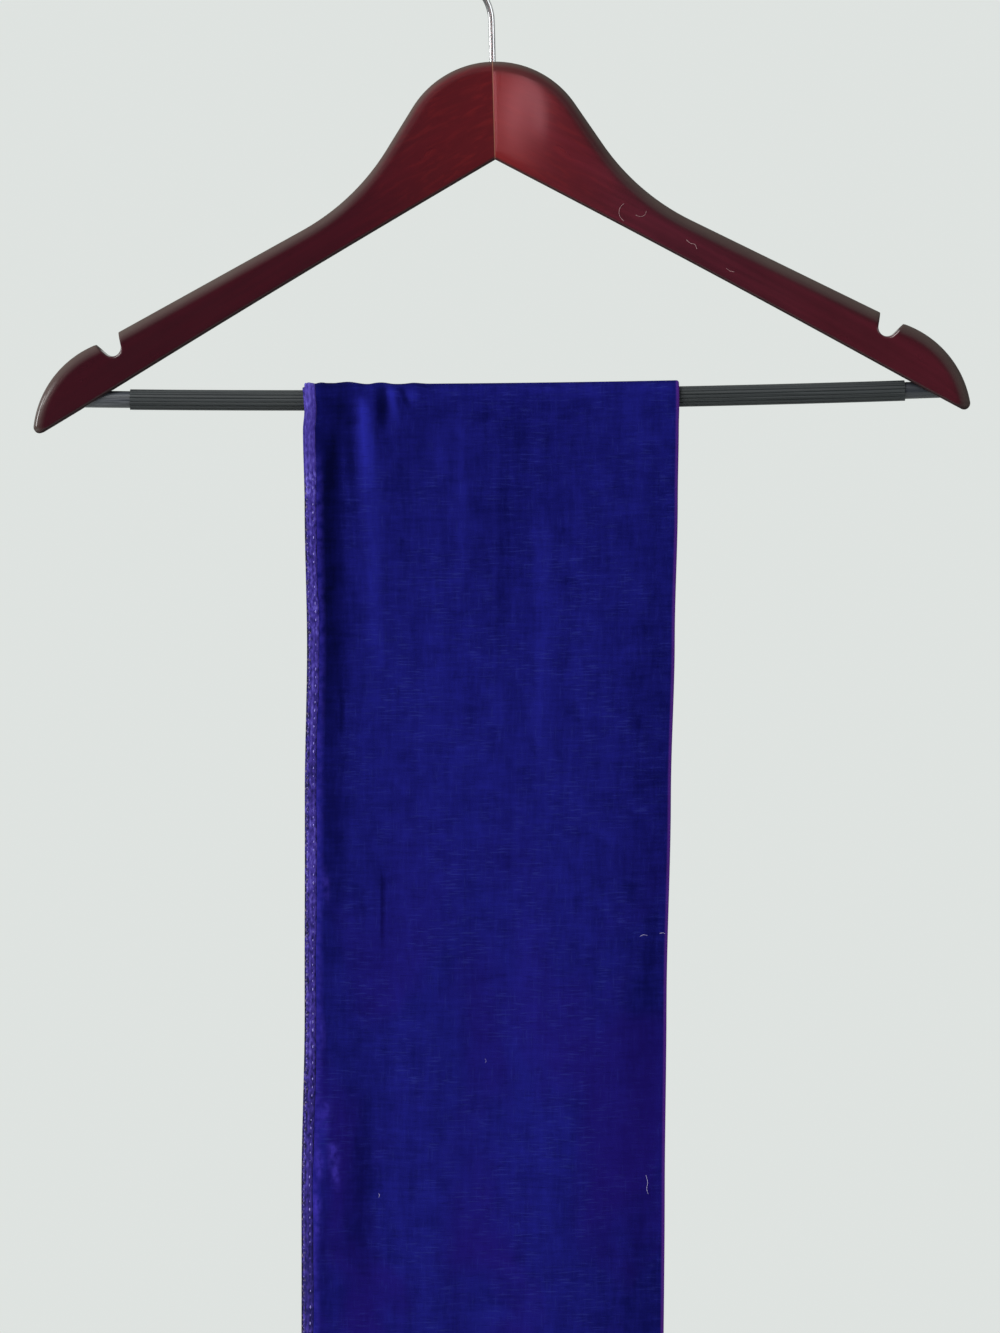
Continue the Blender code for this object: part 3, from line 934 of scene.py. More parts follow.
def merged(piece: Object) -> Object:
    """Welds a piece's loose caps and points its faces outwards.

    Args:
        piece: A plain mesh object.

    Returns:
        The same object.
    """
    work = bmesh.new()
    work.from_mesh(piece.data)
    bmesh.ops.remove_doubles(work, verts=work.verts, dist=WELD)
    bmesh.ops.recalc_face_normals(work, faces=work.faces)
    work.to_mesh(piece.data)
    work.free()
    return piece


def swept_round(
    name: str,
    lines: Sequence[Array],
    radius: float,
    resolution: int = 8,
    end_radii: Sequence[float] = (),
) -> Object:
    """Round bars along lines, with closed ends and no finish.

    Args:
        name: Name of the piece.
        lines: Centre lines.
        radius: Their radius.
        resolution: How finely they are rounded.
        end_radii: Shares of the radius at the last points of the first line.

    Returns:
        One plain mesh object.
    """
    guide = guide_curve(name + "_line", *lines)
    guide.data.bevel_depth = radius
    guide.data.bevel_resolution = resolution
    guide.data.use_fill_caps = True
    for knot, share in zip(reversed(guide.data.splines[0].points), reversed(end_radii)):
        knot.radius = share
    return merged(plain_mesh(name, guide))


def round_bar(
    name: str,
    points: Array,
    radius: float,
    finish: Material,
    end_radii: Sequence[float] = (),
) -> Object:
    """A round bar or wire with closed ends.

    Args:
        name: Name of the piece.
        points: Its centre line.
        radius: Its radius.
        finish: Its material.
        end_radii: Shares of the radius at the last points.

    Returns:
        A plain mesh object.
    """
    bar = swept_round(name, [points], radius, end_radii=end_radii)
    bar.data.materials.append(finish)
    bar.data.shade_smooth()
    bar.data.set_sharp_from_angle(angle=BAR_SHARP)
    return bar


# Geometry Nodes


class GeometryTree(Graph):
    """A Geometry Nodes tree with named inputs, which ends in Realize Instances and Set Material."""

    def __init__(self, name: str) -> None:
        """Starts a tree with geometry in and out.

        Args:
            name: The tree's name.
        """
        super().__init__(bpy.data.node_groups.new(name, "GeometryNodeTree"))
        face = self.tree.interface
        face.new_socket("Geometry", in_out="INPUT", socket_type="NodeSocketGeometry")
        face.new_socket("Geometry", in_out="OUTPUT", socket_type="NodeSocketGeometry")
        self.entry = self.tree.nodes.new("NodeGroupInput")
        self.settings: dict[str, object] = {}

    def geometry(self) -> Value:
        """What comes in."""
        return Value(self, self.entry.outputs["Geometry"])

    def size(self, name: str, value: float | int, kind: str = "NodeSocketFloat") -> Value:
        """Adds a named input.

        Args:
            name: The input's name.
            value: What the modifier sets it to.
            kind: Its socket type.

        Returns:
            The input, ready to link.
        """
        socket = self.tree.interface.new_socket(name, in_out="INPUT", socket_type=kind)
        self.settings[socket.identifier] = value
        return Value(self, self.entry.outputs[name])

    def close(self, geometry: Value, finish: Material) -> None:
        """Realizes the instances, sets the material and ends the tree.

        Args:
            geometry: What the tree has made.
            finish: The material.
        """
        real = self.add("GeometryNodeRealizeInstances", {}, {0: geometry})
        dressed = self.add("GeometryNodeSetMaterial", {}, {"Geometry": real, "Material": finish})
        exit_node = self.tree.nodes.new("NodeGroupOutput")
        self.tree.links.new(dressed.socket, exit_node.inputs["Geometry"])

    def apply(self, name: str, guide: Object) -> Object:
        """Runs the tree on a guide and returns the result as a plain mesh.

        Args:
            name: Name of the piece.
            guide: The object that the tree follows, which is removed.

        Returns:
            The piece, with no modifiers.
        """
        modifier = guide.modifiers.new(name, "NODES")
        modifier.node_group = self.tree
        for identifier, value in self.settings.items():
            modifier[identifier] = value
        return plain_mesh(name, guide)


# A stitch's sides and rings, its least and greatest share of the full size, and the share that shows
STITCH_SIDES, STITCH_RINGS = 6, 4
STITCH_SIZES = (0.45, 1.20)
STITCHES_SHOWN = 0.82


def sewn_stitches(
    name: str,
    lines: Sequence[Array],
    pitch: float,
    length: float,
    radius: float,
    finish: Material,
    seed: int,
) -> Object:
    """Rows of short thread stitches that follow lines.

    Args:
        name: Name of the piece.
        lines: Points of each stretch of the seam.
        pitch: From one stitch to the next.
        length: Length of a stitch that shows.
        radius: Radius of the thread.
        finish: Its material.
        seed: Seed of the small differences between stitches.

    Returns:
        One mesh of all the stitches.
    """
    tree = GeometryTree(name + "_tree")
    step = tree.size("Pitch", pitch)
    thread = tree.size("Thread radius", radius)
    half_length = tree.size("Half length", length / 2)
    fixed_seed = tree.size("Seed", seed, "NodeSocketInt")
    points = tree.add(
        "GeometryNodeCurveToPoints", {"mode": "LENGTH"}, {"Curve": tree.geometry(), "Length": step}
    )
    turn = Value(tree, points.socket.node.outputs["Rotation"])
    bead = tree.add("GeometryNodeMeshUVSphere", {}, {"Segments": STITCH_SIDES, "Rings": STITCH_RINGS})
    bead_size = tree.add("ShaderNodeCombineXYZ", {}, {"X": thread, "Y": thread, "Z": half_length})
    vary = tree.add(
        "FunctionNodeRandomValue",
        {"data_type": "FLOAT"},
        {2: STITCH_SIZES[0], 3: STITCH_SIZES[1], "Seed": fixed_seed},
        output=1,
    )
    kept = tree.add(
        "FunctionNodeRandomValue",
        {"data_type": "BOOLEAN"},
        {"Probability": STITCHES_SHOWN, "Seed": fixed_seed + 1},
        output=3,
    )
    sizes = tree.add("ShaderNodeVectorMath", {"operation": "SCALE"}, {0: bead_size, "Scale": vary})
    placed = tree.add(
        "GeometryNodeInstanceOnPoints",
        {},
        {"Points": points, "Selection": kept, "Instance": bead, "Rotation": turn, "Scale": sizes},
    )
    tree.close(placed, finish)
    piece = tree.apply(name, guide_curve(name + "_line", *lines))
    piece.data.shade_smooth()
    return piece


# Hanger


class Side(Enum):
    """The two halves of the hanger, with the sign of X on each."""

    LEFT = -1
    RIGHT = 1


@dataclass(frozen=True)
class HangerSizes:
    """Sizes that the pieces of the hanger share. The hanger leans, so the scarf hangs off its middle."""

    hook_height: float = 71.0 * MM
    lean: float = math.radians(1.5)
    sweep: float = math.tan(math.radians(4.0))
    sleeve_radius: float = 4.87 * MM
    bar_drop: float = 159.9 * MM
    bar_bow: float = 1.93 * MM
    bar_half_span: float = 183.0 * MM
    bar_slope: float = -0.015
    bar_forward: float = 14.2 * MM
    lean_rounds: int = 4

    def leaned(self, points: Array) -> Array:
        """Turns points of the level hanger by its lean.

        Args:
            points: Places in the hanger's own frame.

        Returns:
            Places in the object's frame.
        """
        own = np.asarray(points, float)
        cosine, sine = math.cos(self.lean), math.sin(self.lean)
        x = own[:, 0] * cosine - own[:, 2] * sine
        z = own[:, 0] * sine + own[:, 2] * cosine
        return np.stack([x, own[:, 1], z], axis=1)

    def bar_height(self, x: Array) -> Array:
        """Height of the bar's centre line in the hanger's own frame."""
        bowed = self.bar_bow * ((x / self.bar_half_span) ** 2 - 1) + self.bar_bow
        return bowed + self.bar_slope * x - self.bar_drop - self.hook_height

    def bar_line(self, start: float, stop: float, steps: int) -> Array:
        """Centre line of the bar, in the object's frame.

        Args:
            start: Its left end, in the hanger's own frame.
            stop: Its right end.
            steps: How many stretches it has.

        Returns:
            The points.
        """
        x = np.linspace(start, stop, steps + 1)
        return self.leaned(np.stack([x, np.full_like(x, -self.bar_forward), self.bar_height(x)], axis=1))

    def leaning_bar_height(self, x: Array) -> Array:
        """Height of the bar's centre line in the object's frame.

        Args:
            x: Distances beside the origin.

        Returns:
            One height a distance.
        """
        height = np.full_like(x, -self.bar_drop - self.hook_height)
        own_x = x
        for _ in range(self.lean_rounds):
            own_x = (x + height * math.sin(self.lean)) / math.cos(self.lean)
            height = self.bar_height(own_x)
        return own_x * math.sin(self.lean) + height * math.cos(self.lean)


HANGER = HangerSizes()


@dataclass(frozen=True)
class Run:
    """A stretch of the top edge: an arc where it turns (down if positive), straight where it doesn't."""

    foot_x: float
    steps: int
    radius: float = 0.0
    turn: float = 0.0
    length: float = 0.0


@dataclass(frozen=True)
class WoodenHalf:
    """One half of the wooden hanger, a rounded board with a notch in its shoulder."""

    side: Side
    thickness: float = 13.0 * MM
    middle_height: float = 46.3 * MM
    lower_slope: float = math.radians(29.6)
    lower_arch: float = 0.9 * MM
    lower_arch_span: float = 200.0 * MM
    top_rounding: float = 4.2 * MM
    lower_rounding: float = 1.5 * MM
    notch_rounding: float = 1.1 * MM
    seam_rounding: float = 0.08 * MM
    seam_gap: float = 0.02 * MM
    tip_radius: float = 3.0 * MM
    tip_x: float = 219.0 * MM
    end_heading: float = math.radians(20)
    end_steps: int = 34
    end_foot_x: float = 212.0 * MM
    end_easing: float = 0.8
    tip_steps: int = 9
    tip_spread: float = math.radians(10)
    notch_centre: Pair = (183.8 * MM, -130.4 * MM)
    notch_radius: float = 4.4 * MM
    notch_inner_wall: float = math.radians(80)
    notch_outer_wall: float = math.radians(43)
    notch_wall: float = 16.0 * MM
    notch_steps: int = 18
    wall_steps: int = 40
    notch_margin: float = 0.05 * MM
    shoulder_slope: float = math.radians(27.5)
    foot_steps: int = 5
    top_steps: int = 9
    face_steps: int = 12
    foot_spread: float = 1.3
    top_spread: float = 1.25
    most_rounding: float = 0.9
    sharp_angle: float = math.radians(48)
    least_edge: float = 0.35 * MM
    rim_reach: float = 8.0 * MM
    foot_reach: float = 2.2 * MM
    crown: float = 0.8 * MM
    crown_place: Pair = (30.0 * MM, -30.0 * MM)
    crown_reach: Pair = (13.0 * MM, 22.0 * MM)
    board_length: float = 0.32
    runs: tuple[Run, ...] = (
        Run(30.0 * MM, 40, radius=46.0 * MM, turn=math.radians(56.8)),
        Run(41.0 * MM, 12, length=23.6 * MM),
        Run(84.0 * MM, 30, radius=108.8 * MM, turn=math.radians(-29.3)),
        Run(180.0 * MM, 56, length=111.4 * MM),
    )

    def lower_point(self, x: float) -> Vector:
        """A point of the lower edge, slightly arched between the middle and the tip."""
        arch = self.lower_arch * max(math.sin(math.pi * x / self.lower_arch_span), 0.0)
        return Vector((x, -self.middle_height - x * math.tan(self.lower_slope) + arch))

    def tip_centre(self) -> Vector:
        """Centre of the rounding at the tip."""
        rise = self.tip_radius / math.cos(self.lower_slope)
        return Vector((self.tip_x, -self.middle_height - self.tip_x * math.tan(self.lower_slope) + rise))

    @staticmethod
    def right_of(heading: float) -> Vector:
        """Unit vector square to a heading, towards the wood."""
        return Vector((-math.sin(heading), -math.cos(heading)))

    def plain_stations(self) -> list[tuple[Vector, Vector]]:
        """Pairs of a top point and its foot, from the middle to the tip, without the notch.

        Returns:
            The pairs, in the hanger's own plane.
        """
        point, heading, foot = Vector((0.0, 0.0)), 0.0, 0.0
        stations = [(point.copy(), self.lower_point(0.0))]
        for run in self.runs:
            for step in range(1, run.steps + 1):
                part = step / run.steps
                if run.turn:
                    reach = math.copysign(run.radius, run.turn)
                    centre = point + self.right_of(heading) * reach
                    top = centre - self.right_of(heading + run.turn * part) * reach
                else:
                    ahead = Vector((math.cos(heading), -math.sin(heading)))
                    top = point + ahead * run.length * part
                stations.append((top, self.lower_point(foot + (run.foot_x - foot) * part)))
            point, heading, foot = stations[-1][0], heading + run.turn, run.foot_x
        tip = self.tip_centre()
        inward = self.right_of(self.end_heading)
        to_tip = tip - point
        radius = (to_tip.length_squared - self.tip_radius**2) / (2 * (inward.dot(to_tip) - self.tip_radius))
        centre = point + inward * radius
        reach = tip - centre
        last_heading = math.pi / 2 - math.atan2(reach.y, reach.x)
        for step in range(1, self.end_steps + 1):
            part = step / self.end_steps
            turned = self.end_heading + (last_heading - self.end_heading) * part
            top = centre - self.right_of(turned) * radius
            foot_x = foot + (self.end_foot_x - foot) * part**self.end_easing
            stations.append((top, self.lower_point(foot_x)))
        foot_heading = math.pi + self.lower_slope
        middle = (last_heading + foot_heading) / 2
        for step in range(1, self.tip_steps + 1):
            part = step / self.tip_steps
            upper = last_heading + (middle - self.tip_spread - last_heading) * part
            lower = foot_heading + (middle + self.tip_spread - foot_heading) * part
            top = tip - self.right_of(upper) * self.tip_radius
            stations.append((top, tip - self.right_of(lower) * self.tip_radius))
        return stations

    def notch_line(self) -> list[Vector]:
        """Outline of the notch.

        Returns:
            Its points, from far up its inner wall, round its bottom, up its outer wall.
        """
        centre = Vector(self.notch_centre)
        start = self.notch_inner_wall - 1.5 * math.pi
        stop = self.notch_outer_wall - math.pi / 2
        bottom = []
        for step in range(self.notch_steps + 1):
            angle = start + (stop - start) * step / self.notch_steps
            bottom.append(centre + Vector((math.cos(angle), math.sin(angle))) * self.notch_radius)
        inner = Vector((math.cos(self.notch_inner_wall), math.sin(self.notch_inner_wall)))
        outer = Vector((math.cos(self.notch_outer_wall), math.sin(self.notch_outer_wall)))
        steps = [self.notch_wall * i / self.wall_steps for i in range(1, self.wall_steps + 1)]
        return (
            [bottom[0] + inner * reach for reach in reversed(steps)]
            + bottom
            + [bottom[-1] + outer * reach for reach in steps]
        )

    def stations(self) -> tuple[list[tuple[Vector, Vector]], Array, Array]:
        """Stations of the half with its notch.

        Returns:
            The pairs of top and foot, the plain top edge's points, and the notch's points.
        """
        plain = self.plain_stations()
        along = Vector((math.cos(self.shoulder_slope), -math.sin(self.shoulder_slope)))
        tops = np.array([tuple(top) for top, _ in plain])
        reach = tops @ np.array(along)
        feet = np.array([foot.x for _, foot in plain])
        upright = np.array([-along.y, along.x])
        crest = tops @ upright
        last = sum(run.steps for run in self.runs) + self.end_steps
        notch = [p for p in self.notch_line() if self.below_edge(p, along, upright, reach, crest, last)]
        low, high = notch[0].dot(along), notch[-1].dot(along)
        before = [pair for pair, at in zip(plain, reach) if at < low - self.notch_margin]
        after = [pair for pair, at in zip(plain, reach) if at > high + self.notch_margin]
        dipped = [(p, self.lower_point(float(np.interp(p.dot(along), reach, feet)))) for p in notch]
        tops_before, tops_after = ([tuple(top) for top, _ in part] for part in (before, after))
        edge = np.concatenate([tops_before, [(np.nan, np.nan)], tops_after])
        return before + dipped + after, edge, np.array([tuple(p) for p in notch])

    @staticmethod
    def below_edge(
        point: Vector,
        along: Vector,
        upright: Array,
        reach: Array,
        crest: Array,
        last: int,
    ) -> bool:
        """Whether a point of the notch's outline lies below the plain top edge."""
        limit = float(np.interp(point.dot(along), reach[: last + 1], crest[: last + 1]))
        return float(np.array(point) @ upright) <= limit

    @staticmethod
    def distance(points: Array, line: Array) -> Array:
        """Distance from points to a broken line. A row of nan parts it.

        Args:
            points: Two numbers a point.
            line: Two numbers a point.

        Returns:
            One distance a point.
        """
        nearest = np.full(len(points), np.inf)
        for start, stop in zip(line, line[1:]):
            if np.isnan(start[0]) or np.isnan(stop[0]):
                continue
            span = stop - start
            part = np.clip(((points - start) @ span) / max(span @ span, TINY), 0.0, 1.0)
            gap = points - start - part[:, None] * span
            nearest = np.minimum(nearest, np.hypot(gap[:, 0], gap[:, 1]))
        return nearest

    @staticmethod
    def rounded(distance: Array, radius: float) -> Array:
        """How far a rounded edge falls away at a distance from it."""
        inside = np.clip(radius - distance, 0.0, radius)
        return radius - np.sqrt(radius * radius - inside * inside)

    def across(self, height: float) -> Array:
        """Shares of a section's height where it has points, closer at its rounded edges.

        Args:
            height: Height of the section.

        Returns:
            Shares from 0 at the foot to 1 at the top.
        """
        turns = np.linspace(0.0, math.pi / 2, self.foot_steps)
        low = self.lower_rounding * self.foot_spread * (1 - np.cos(turns))
        turns = np.linspace(0.0, math.pi / 2, self.top_steps)
        high = self.top_rounding * self.top_spread * (1 - np.cos(turns))
        squeeze = min(1.0, self.most_rounding * height / (low[-1] + high[-1]))
        low, high = low * squeeze / height, 1.0 - high * squeeze / height
        middle = np.linspace(low[-1], high[-1], self.face_steps)[1:-1]
        return np.concatenate([low, middle, high[::-1]])

    def build(self, finish: Material, holes: Sequence[Object]) -> Object:
        """Makes the half.

        Args:
            finish: Its lacquer.
            holes: Solids that are cut out of it.

        Returns:
            The piece.
        """
        stations, edge, notch = self.stations()
        lower = np.array([tuple(foot) for _, foot in stations])
        flat, uv = [], []
        travelled, last_foot = 0.0, stations[0][1]
        for top, foot in stations:
            travelled += (foot - last_foot).length
            last_foot = foot
            height = (top - foot).length
            for share in self.across(height):
                point = foot + (top - foot) * share
                flat.append((max(point.x, self.seam_gap), point.y))
                uv.append((travelled, height * share))
        flat = np.array(flat)
        columns = len(self.across(self.middle_height))
        from_top, from_foot = self.distance(flat, edge), self.distance(flat, lower)
        fall = self.rounded(from_top, self.top_rounding) + self.rounded(from_foot, self.lower_rounding)
        fall += self.rounded(self.distance(flat, notch), self.notch_rounding)
        fall += self.rounded(flat[:, 0], self.seam_rounding)
        half = np.maximum(self.thickness / 2 - fall, self.least_edge)
        off_crown = (flat - np.array(self.crown_place)) / np.array(self.crown_reach)
        swell = self.crown * np.exp(-(off_crown**2).sum(axis=1) / 2)
        centre = -HANGER.sweep * flat[:, 0]
        x, z = flat[:, 0] * self.side.value, flat[:, 1] - HANGER.hook_height
        sides = [
            HANGER.leaned(np.stack([x, y, z], axis=1)) for y in (centre - half - swell, centre + half)
        ]
        numbers = {
            "rim": np.clip(1.0 - from_top / self.rim_reach, 0.0, 1.0),
            "foot": np.clip(1.0 - from_foot / self.foot_reach, 0.0, 1.0),
        }
        name = f"wood_{self.side.name.lower()}_half"
        places = ("board", np.array(uv) / self.board_length)
        piece = shell_piece(name, sides, (len(stations), columns), finish, places, numbers)
        for hole in holes:
            cut = piece.modifiers.new(hole.name, "BOOLEAN")
            cut.operation = "DIFFERENCE"
            cut.solver = "EXACT"
            cut.object = hole
        piece = plain_mesh(name, piece)
        piece.data.set_sharp_from_angle(angle=self.sharp_angle)
        return piece


@dataclass(frozen=True)
class Bar:
    """The rod between the halves and its ribbed sleeve."""

    rod_radius: float = 4.0 * MM
    bore_radius: float = 4.3 * MM
    rod_left: float = -203.5 * MM
    rod_right: float = 212.5 * MM
    sleeve_left: float = -175.9 * MM
    sleeve_right: float = 191.3 * MM
    groove_depth: float = 0.42 * MM
    wall: float = 0.45 * MM
    ribs: int = 16
    sides_per_rib: int = 8
    groove_ends: Pair = (0.20, 0.02)
    bore_margin: float = 0.3 * MM
    bore_steps: int = 20
    rod_steps: int = 24
    sleeve_steps: int = 40
    sharp_angle: float = math.radians(60)

    def bore(self) -> Object:
        """Makes the solid that bores the wood for the rod.

        Returns:
            A hidden cutter.
        """
        left, right = self.rod_left - self.bore_margin, self.rod_right + self.bore_margin
        line = HANGER.bar_line(left, right, self.bore_steps)
        cutter = swept_round("bar_bore", [line], self.bore_radius)
        cutter.hide_render = True
        return cutter

    def rod(self, finish: Material) -> Object:
        """Makes the painted rod."""
        line = HANGER.bar_line(self.rod_left, self.rod_right, self.rod_steps)
        return round_bar("bar_rod", line, self.rod_radius, finish)

    def sleeve(self, finish: Material) -> Object:
        """Sweeps the ribbed outline along the bar with Geometry Nodes, then gives it a wall.

        Args:
            finish: Its rubber.

        Returns:
            The piece.
        """
        tree = GeometryTree("sleeve_tree")
        radius = tree.size("Sleeve radius", HANGER.sleeve_radius)
        depth = tree.size("Groove depth", self.groove_depth)
        ribs = tree.size("Ribs", self.ribs, "NodeSocketInt")
        sides = tree.size("Sides for each rib", self.sides_per_rib, "NodeSocketInt")
        circle = tree.add(
            "GeometryNodeCurvePrimitiveCircle",
            {"mode": "RADIUS"},
            {"Resolution": ribs * sides, "Radius": radius},
        )
        number = tree.add("GeometryNodeInputIndex")
        turn = tree.math("FRACT", number / sides)
        off_groove = abs(turn - 0.5)
        groove = tree.step(off_groove, *self.groove_ends) * depth
        place = tree.add("GeometryNodeInputPosition")
        outwards = tree.add("ShaderNodeVectorMath", {"operation": "NORMALIZE"}, {0: place})
        inwards = tree.add(
            "ShaderNodeVectorMath", {"operation": "SCALE"}, {0: outwards, "Scale": groove * -1.0}
        )
        outline = tree.add("GeometryNodeSetPosition", {}, {"Geometry": circle, "Offset": inwards})
        swept = tree.add(
            "GeometryNodeCurveToMesh", {}, {"Curve": tree.geometry(), "Profile Curve": outline}
        )
        tree.close(swept, finish)
        line = HANGER.bar_line(self.sleeve_left, self.sleeve_right, self.sleeve_steps)
        tube = merged(tree.apply("bar_sleeve", guide_curve("sleeve_line", line)))
        wall = tube.modifiers.new("wall", "SOLIDIFY")
        wall.thickness = self.wall
        wall.offset = -1.0
        tube = plain_mesh("bar_sleeve", tube)
        tube.data.shade_smooth()
        tube.data.set_sharp_from_angle(angle=self.sharp_angle)
        return tube


@dataclass(frozen=True)
class Hook:
    """The plated wire hook."""

    wire_radius: float = 1.55 * MM
    crook_radius: float = 18.8 * MM
    lower_bend_radius: float = 22.0 * MM
    crook_end: float = math.radians(-32)
    stem_in_wood: float = 21.0 * MM
    hole_margin: float = 0.3 * MM
    hole_gap: float = 0.1 * MM
    bend_points: int = 18
    crook_points: int = 66
    end_radii: tuple[float, ...] = (0.98, 0.86, 0.45)

    def line(self) -> Array:
        """Centre line of the wire, from its end in the wood to its free end.

        Returns:
            The points, in the object's frame.
        """
        centre_z = self.wire_radius - self.crook_radius
        rise = math.sqrt(self.crook_radius**2 + 2 * self.crook_radius * self.lower_bend_radius)
        bend_x, bend_z = -self.lower_bend_radius, centre_z - rise
        meet = math.atan2(rise, self.lower_bend_radius)
        stem = -HANGER.hook_height - self.stem_in_wood
        points = [(0.0, 0.0, stem), (0.0, 0.0, (stem + bend_z) / 2)]
        for angle in np.linspace(0.0, meet, self.bend_points):
            reach = self.lower_bend_radius
            points.append((bend_x + reach * math.cos(angle), 0.0, bend_z + reach * math.sin(angle)))
        for angle in np.linspace(math.pi + meet, self.crook_end, self.crook_points)[1:]:
            reach = self.crook_radius
            points.append((reach * math.cos(angle), 0.0, centre_z + reach * math.sin(angle)))
        return HANGER.leaned(np.array(points))

    def hole(self) -> Object:
        """Makes the solid that drills the wood for the stem.

        Returns:
            A hidden cutter.
        """
        top = -HANGER.hook_height + self.stem_in_wood
        foot = -HANGER.hook_height - self.stem_in_wood - self.hole_margin
        line = HANGER.leaned(np.array([(0.0, 0.0, foot), (0.0, 0.0, top)]))
        cutter = swept_round("stem_hole", [line], self.wire_radius + self.hole_gap)
        cutter.hide_render = True
        return cutter

    def build(self, finish: Material) -> Object:
        """Makes the wire, with its free end rounded off."""
        return round_bar("hook_wire", self.line(), self.wire_radius, finish, self.end_radii)


def fibres(
    name: str, lines: Sequence[Array], radius: float, finish: Material
) -> Object:
    """Loose fibres as one mesh.

    Args:
        name: Name of the piece.
        lines: Points of each fibre.
        radius: Their radius.
        finish: Their material.

    Returns:
        The piece.
    """
    piece = swept_round(name, lines, radius, 1)
    piece.data.materials.append(finish)
    piece.data.shade_smooth()
    return piece


@dataclass(frozen=True)
class Scuffs:
    """Pale hair-like marks on the front of the right half, in millimetres of the hanger's own frame."""

    radius: float = 0.11 * MM
    proud: float = 0.6
    marks: tuple[tuple[Pair, ...], ...] = (
        ((60.6, -139.8), (59.0, -141.4), (58.2, -143.6), (58.6, -146.0), (60.4, -148.2)),
        ((66.0, -145.4), (68.2, -146.2), (70.2, -145.6), (71.2, -143.6)),
        ((89.6, -157.6), (91.6, -159.4), (93.6, -160.0), (94.6, -162.2)),
        ((108.2, -171.6), (110.0, -173.0), (112.0, -173.4)),
    )

    def build(self) -> Object:
        """Lays the marks on the face of the wood.

        Returns:
            One mesh of all the marks.
        """
        lines = []
        for mark in self.marks:
            x, z = smooth_line(np.array(mark) * MM).T
            y = -HANGER.sweep * x - WoodenHalf.thickness / 2 - self.radius * self.proud
            lines.append(HANGER.leaned(np.stack([x, y, z], axis=1)))
        finish = ThreadFinish(
            "pale_scuff", roughness=0.6, dark=(0.17, 0.07, 0.08), light=(0.42, 0.26, 0.27)
        ).material()
        return fibres("wood_scuffs", lines, self.radius, finish)


def smooth_line(points: Array, steps: int = 5) -> Array:
    """A smooth curve through a few points.

    Args:
        points: Two numbers a point.
        steps: Stretches between one point and the next.

    Returns:
        The curve's points.
    """
    padded = np.concatenate([points[:1] * 2 - points[1:2], points, points[-1:] * 2 - points[-2:-1]])
    made = []
    for a, b, c, d in zip(padded, padded[1:], padded[2:], padded[3:]):
        for part in np.arange(steps) / steps:
            line = b * 2 + (c - a) * part + (a * 2 - b * 5 + c * 4 - d) * part**2
            made.append((line + (b * 3 - a - c * 3 + d) * part**3) / 2)
    return np.array(made + [points[-1]])


# Scarf


@dataclass(frozen=True)
class Fold:
    """A soft ridge, or a trough where rise is negative, down the cloth, in millimetres.

    A start below zero carries it over the bar. Slant moves it across as it goes down.
    """

    across: float
    half_width: float
    rise: float
    start: float
    end: float
    slant: float = 0.0
    fade_in: float = 0.25
    fade_out: float = 0.6

    def height(self, across: Array, below: Array) -> Array:
        """How far it moves the cloth outwards.

        Args:
            across: Places across the folded scarf, in metres.
            below: Length of cloth below the top of the bar, in metres.

        Returns:
            The rise, in metres.
        """
        return self.share(across, below) * self.rise * MM

    def share(self, across: Array, below: Array) -> Array:
        """How strong it is at a place.

        Args:
            across: Places across the folded scarf, in metres.
            below: Length of cloth below the top of the bar, in metres.

        Returns:
            Shares from 0 to 1.
        """
        middle = (self.across + self.slant * (below / MM - self.start)) * MM
        off = np.clip(np.abs(across - middle) / (self.half_width * MM), 0.0, 1.0)
        along = (below / MM - self.start) / (self.end - self.start)
        fade = ease(along / self.fade_in) * ease((1 - along) / self.fade_out)
        return np.cos(off * math.pi / 2) ** 2 * fade


@dataclass(frozen=True)
class Edge:
    """Where the front fall's edges are, in millimetres, at a length of cloth below the bar's top."""

    below: float
    left: float
    right: float


EDGES = (
    Edge(0.0, -87.1, 89.9),
    Edge(15.0, -86.0, 90.0),
    Edge(24.0, -86.7, 89.8),
    Edge(60.0, -86.0, 89.4),
    Edge(125.0, -85.0, 88.1),
    Edge(200.0, -86.2, 86.4),
    Edge(300.0, -86.5, 84.5),
    Edge(390.0, -88.2, 83.8),
    Edge(520.0, -88.4, 83.0),
    Edge(820.0, -89.6, 82.6),
)

# Folds that the solids have, then the finer creases
FRONT_FOLDS = (
    Fold(12, 8, 0.9, -26, 12),
    Fold(17, 9, -1.3, 10, 165),
    Fold(29, 8, 2.0, -8, 95),
    Fold(35.5, 6, -0.9, 10, 36),
    Fold(30.5, 6, 0.9, -20, 30, 0.3),
    Fold(51, 8, 0.5, -12, 44),
    Fold(30, 22, -1.6, 320, 470),
    Fold(62, 26, 2.4, 180, 820),
    Fold(128, 34, 3.0, 260, 900),
    Fold(44, 3.2, -0.30, 8, 20, 0.42),
    Fold(37.4, 2.6, -0.35, 228, 288),
    Fold(16.6, 2.2, -0.35, 148, 174),
    Fold(11.0, 2.4, 0.25, 340, 372, 0.1),
    Fold(17.0, 2.2, 0.22, 352, 386, -0.12),
    Fold(74, 7, 0.35, 6, 130),
    Fold(92, 6, -0.25, 20, 160, 0.02),
    Fold(114, 9, 0.4, 40, 240),
    Fold(150, 8, -0.3, 30, 200, -0.03),
    Fold(25.0, 10, -1.35, -24, 18),
    Fold(42.0, 10, -1.30, -24, 18),
    Fold(7.5, 3.5, 0.7, -24, 18),
)
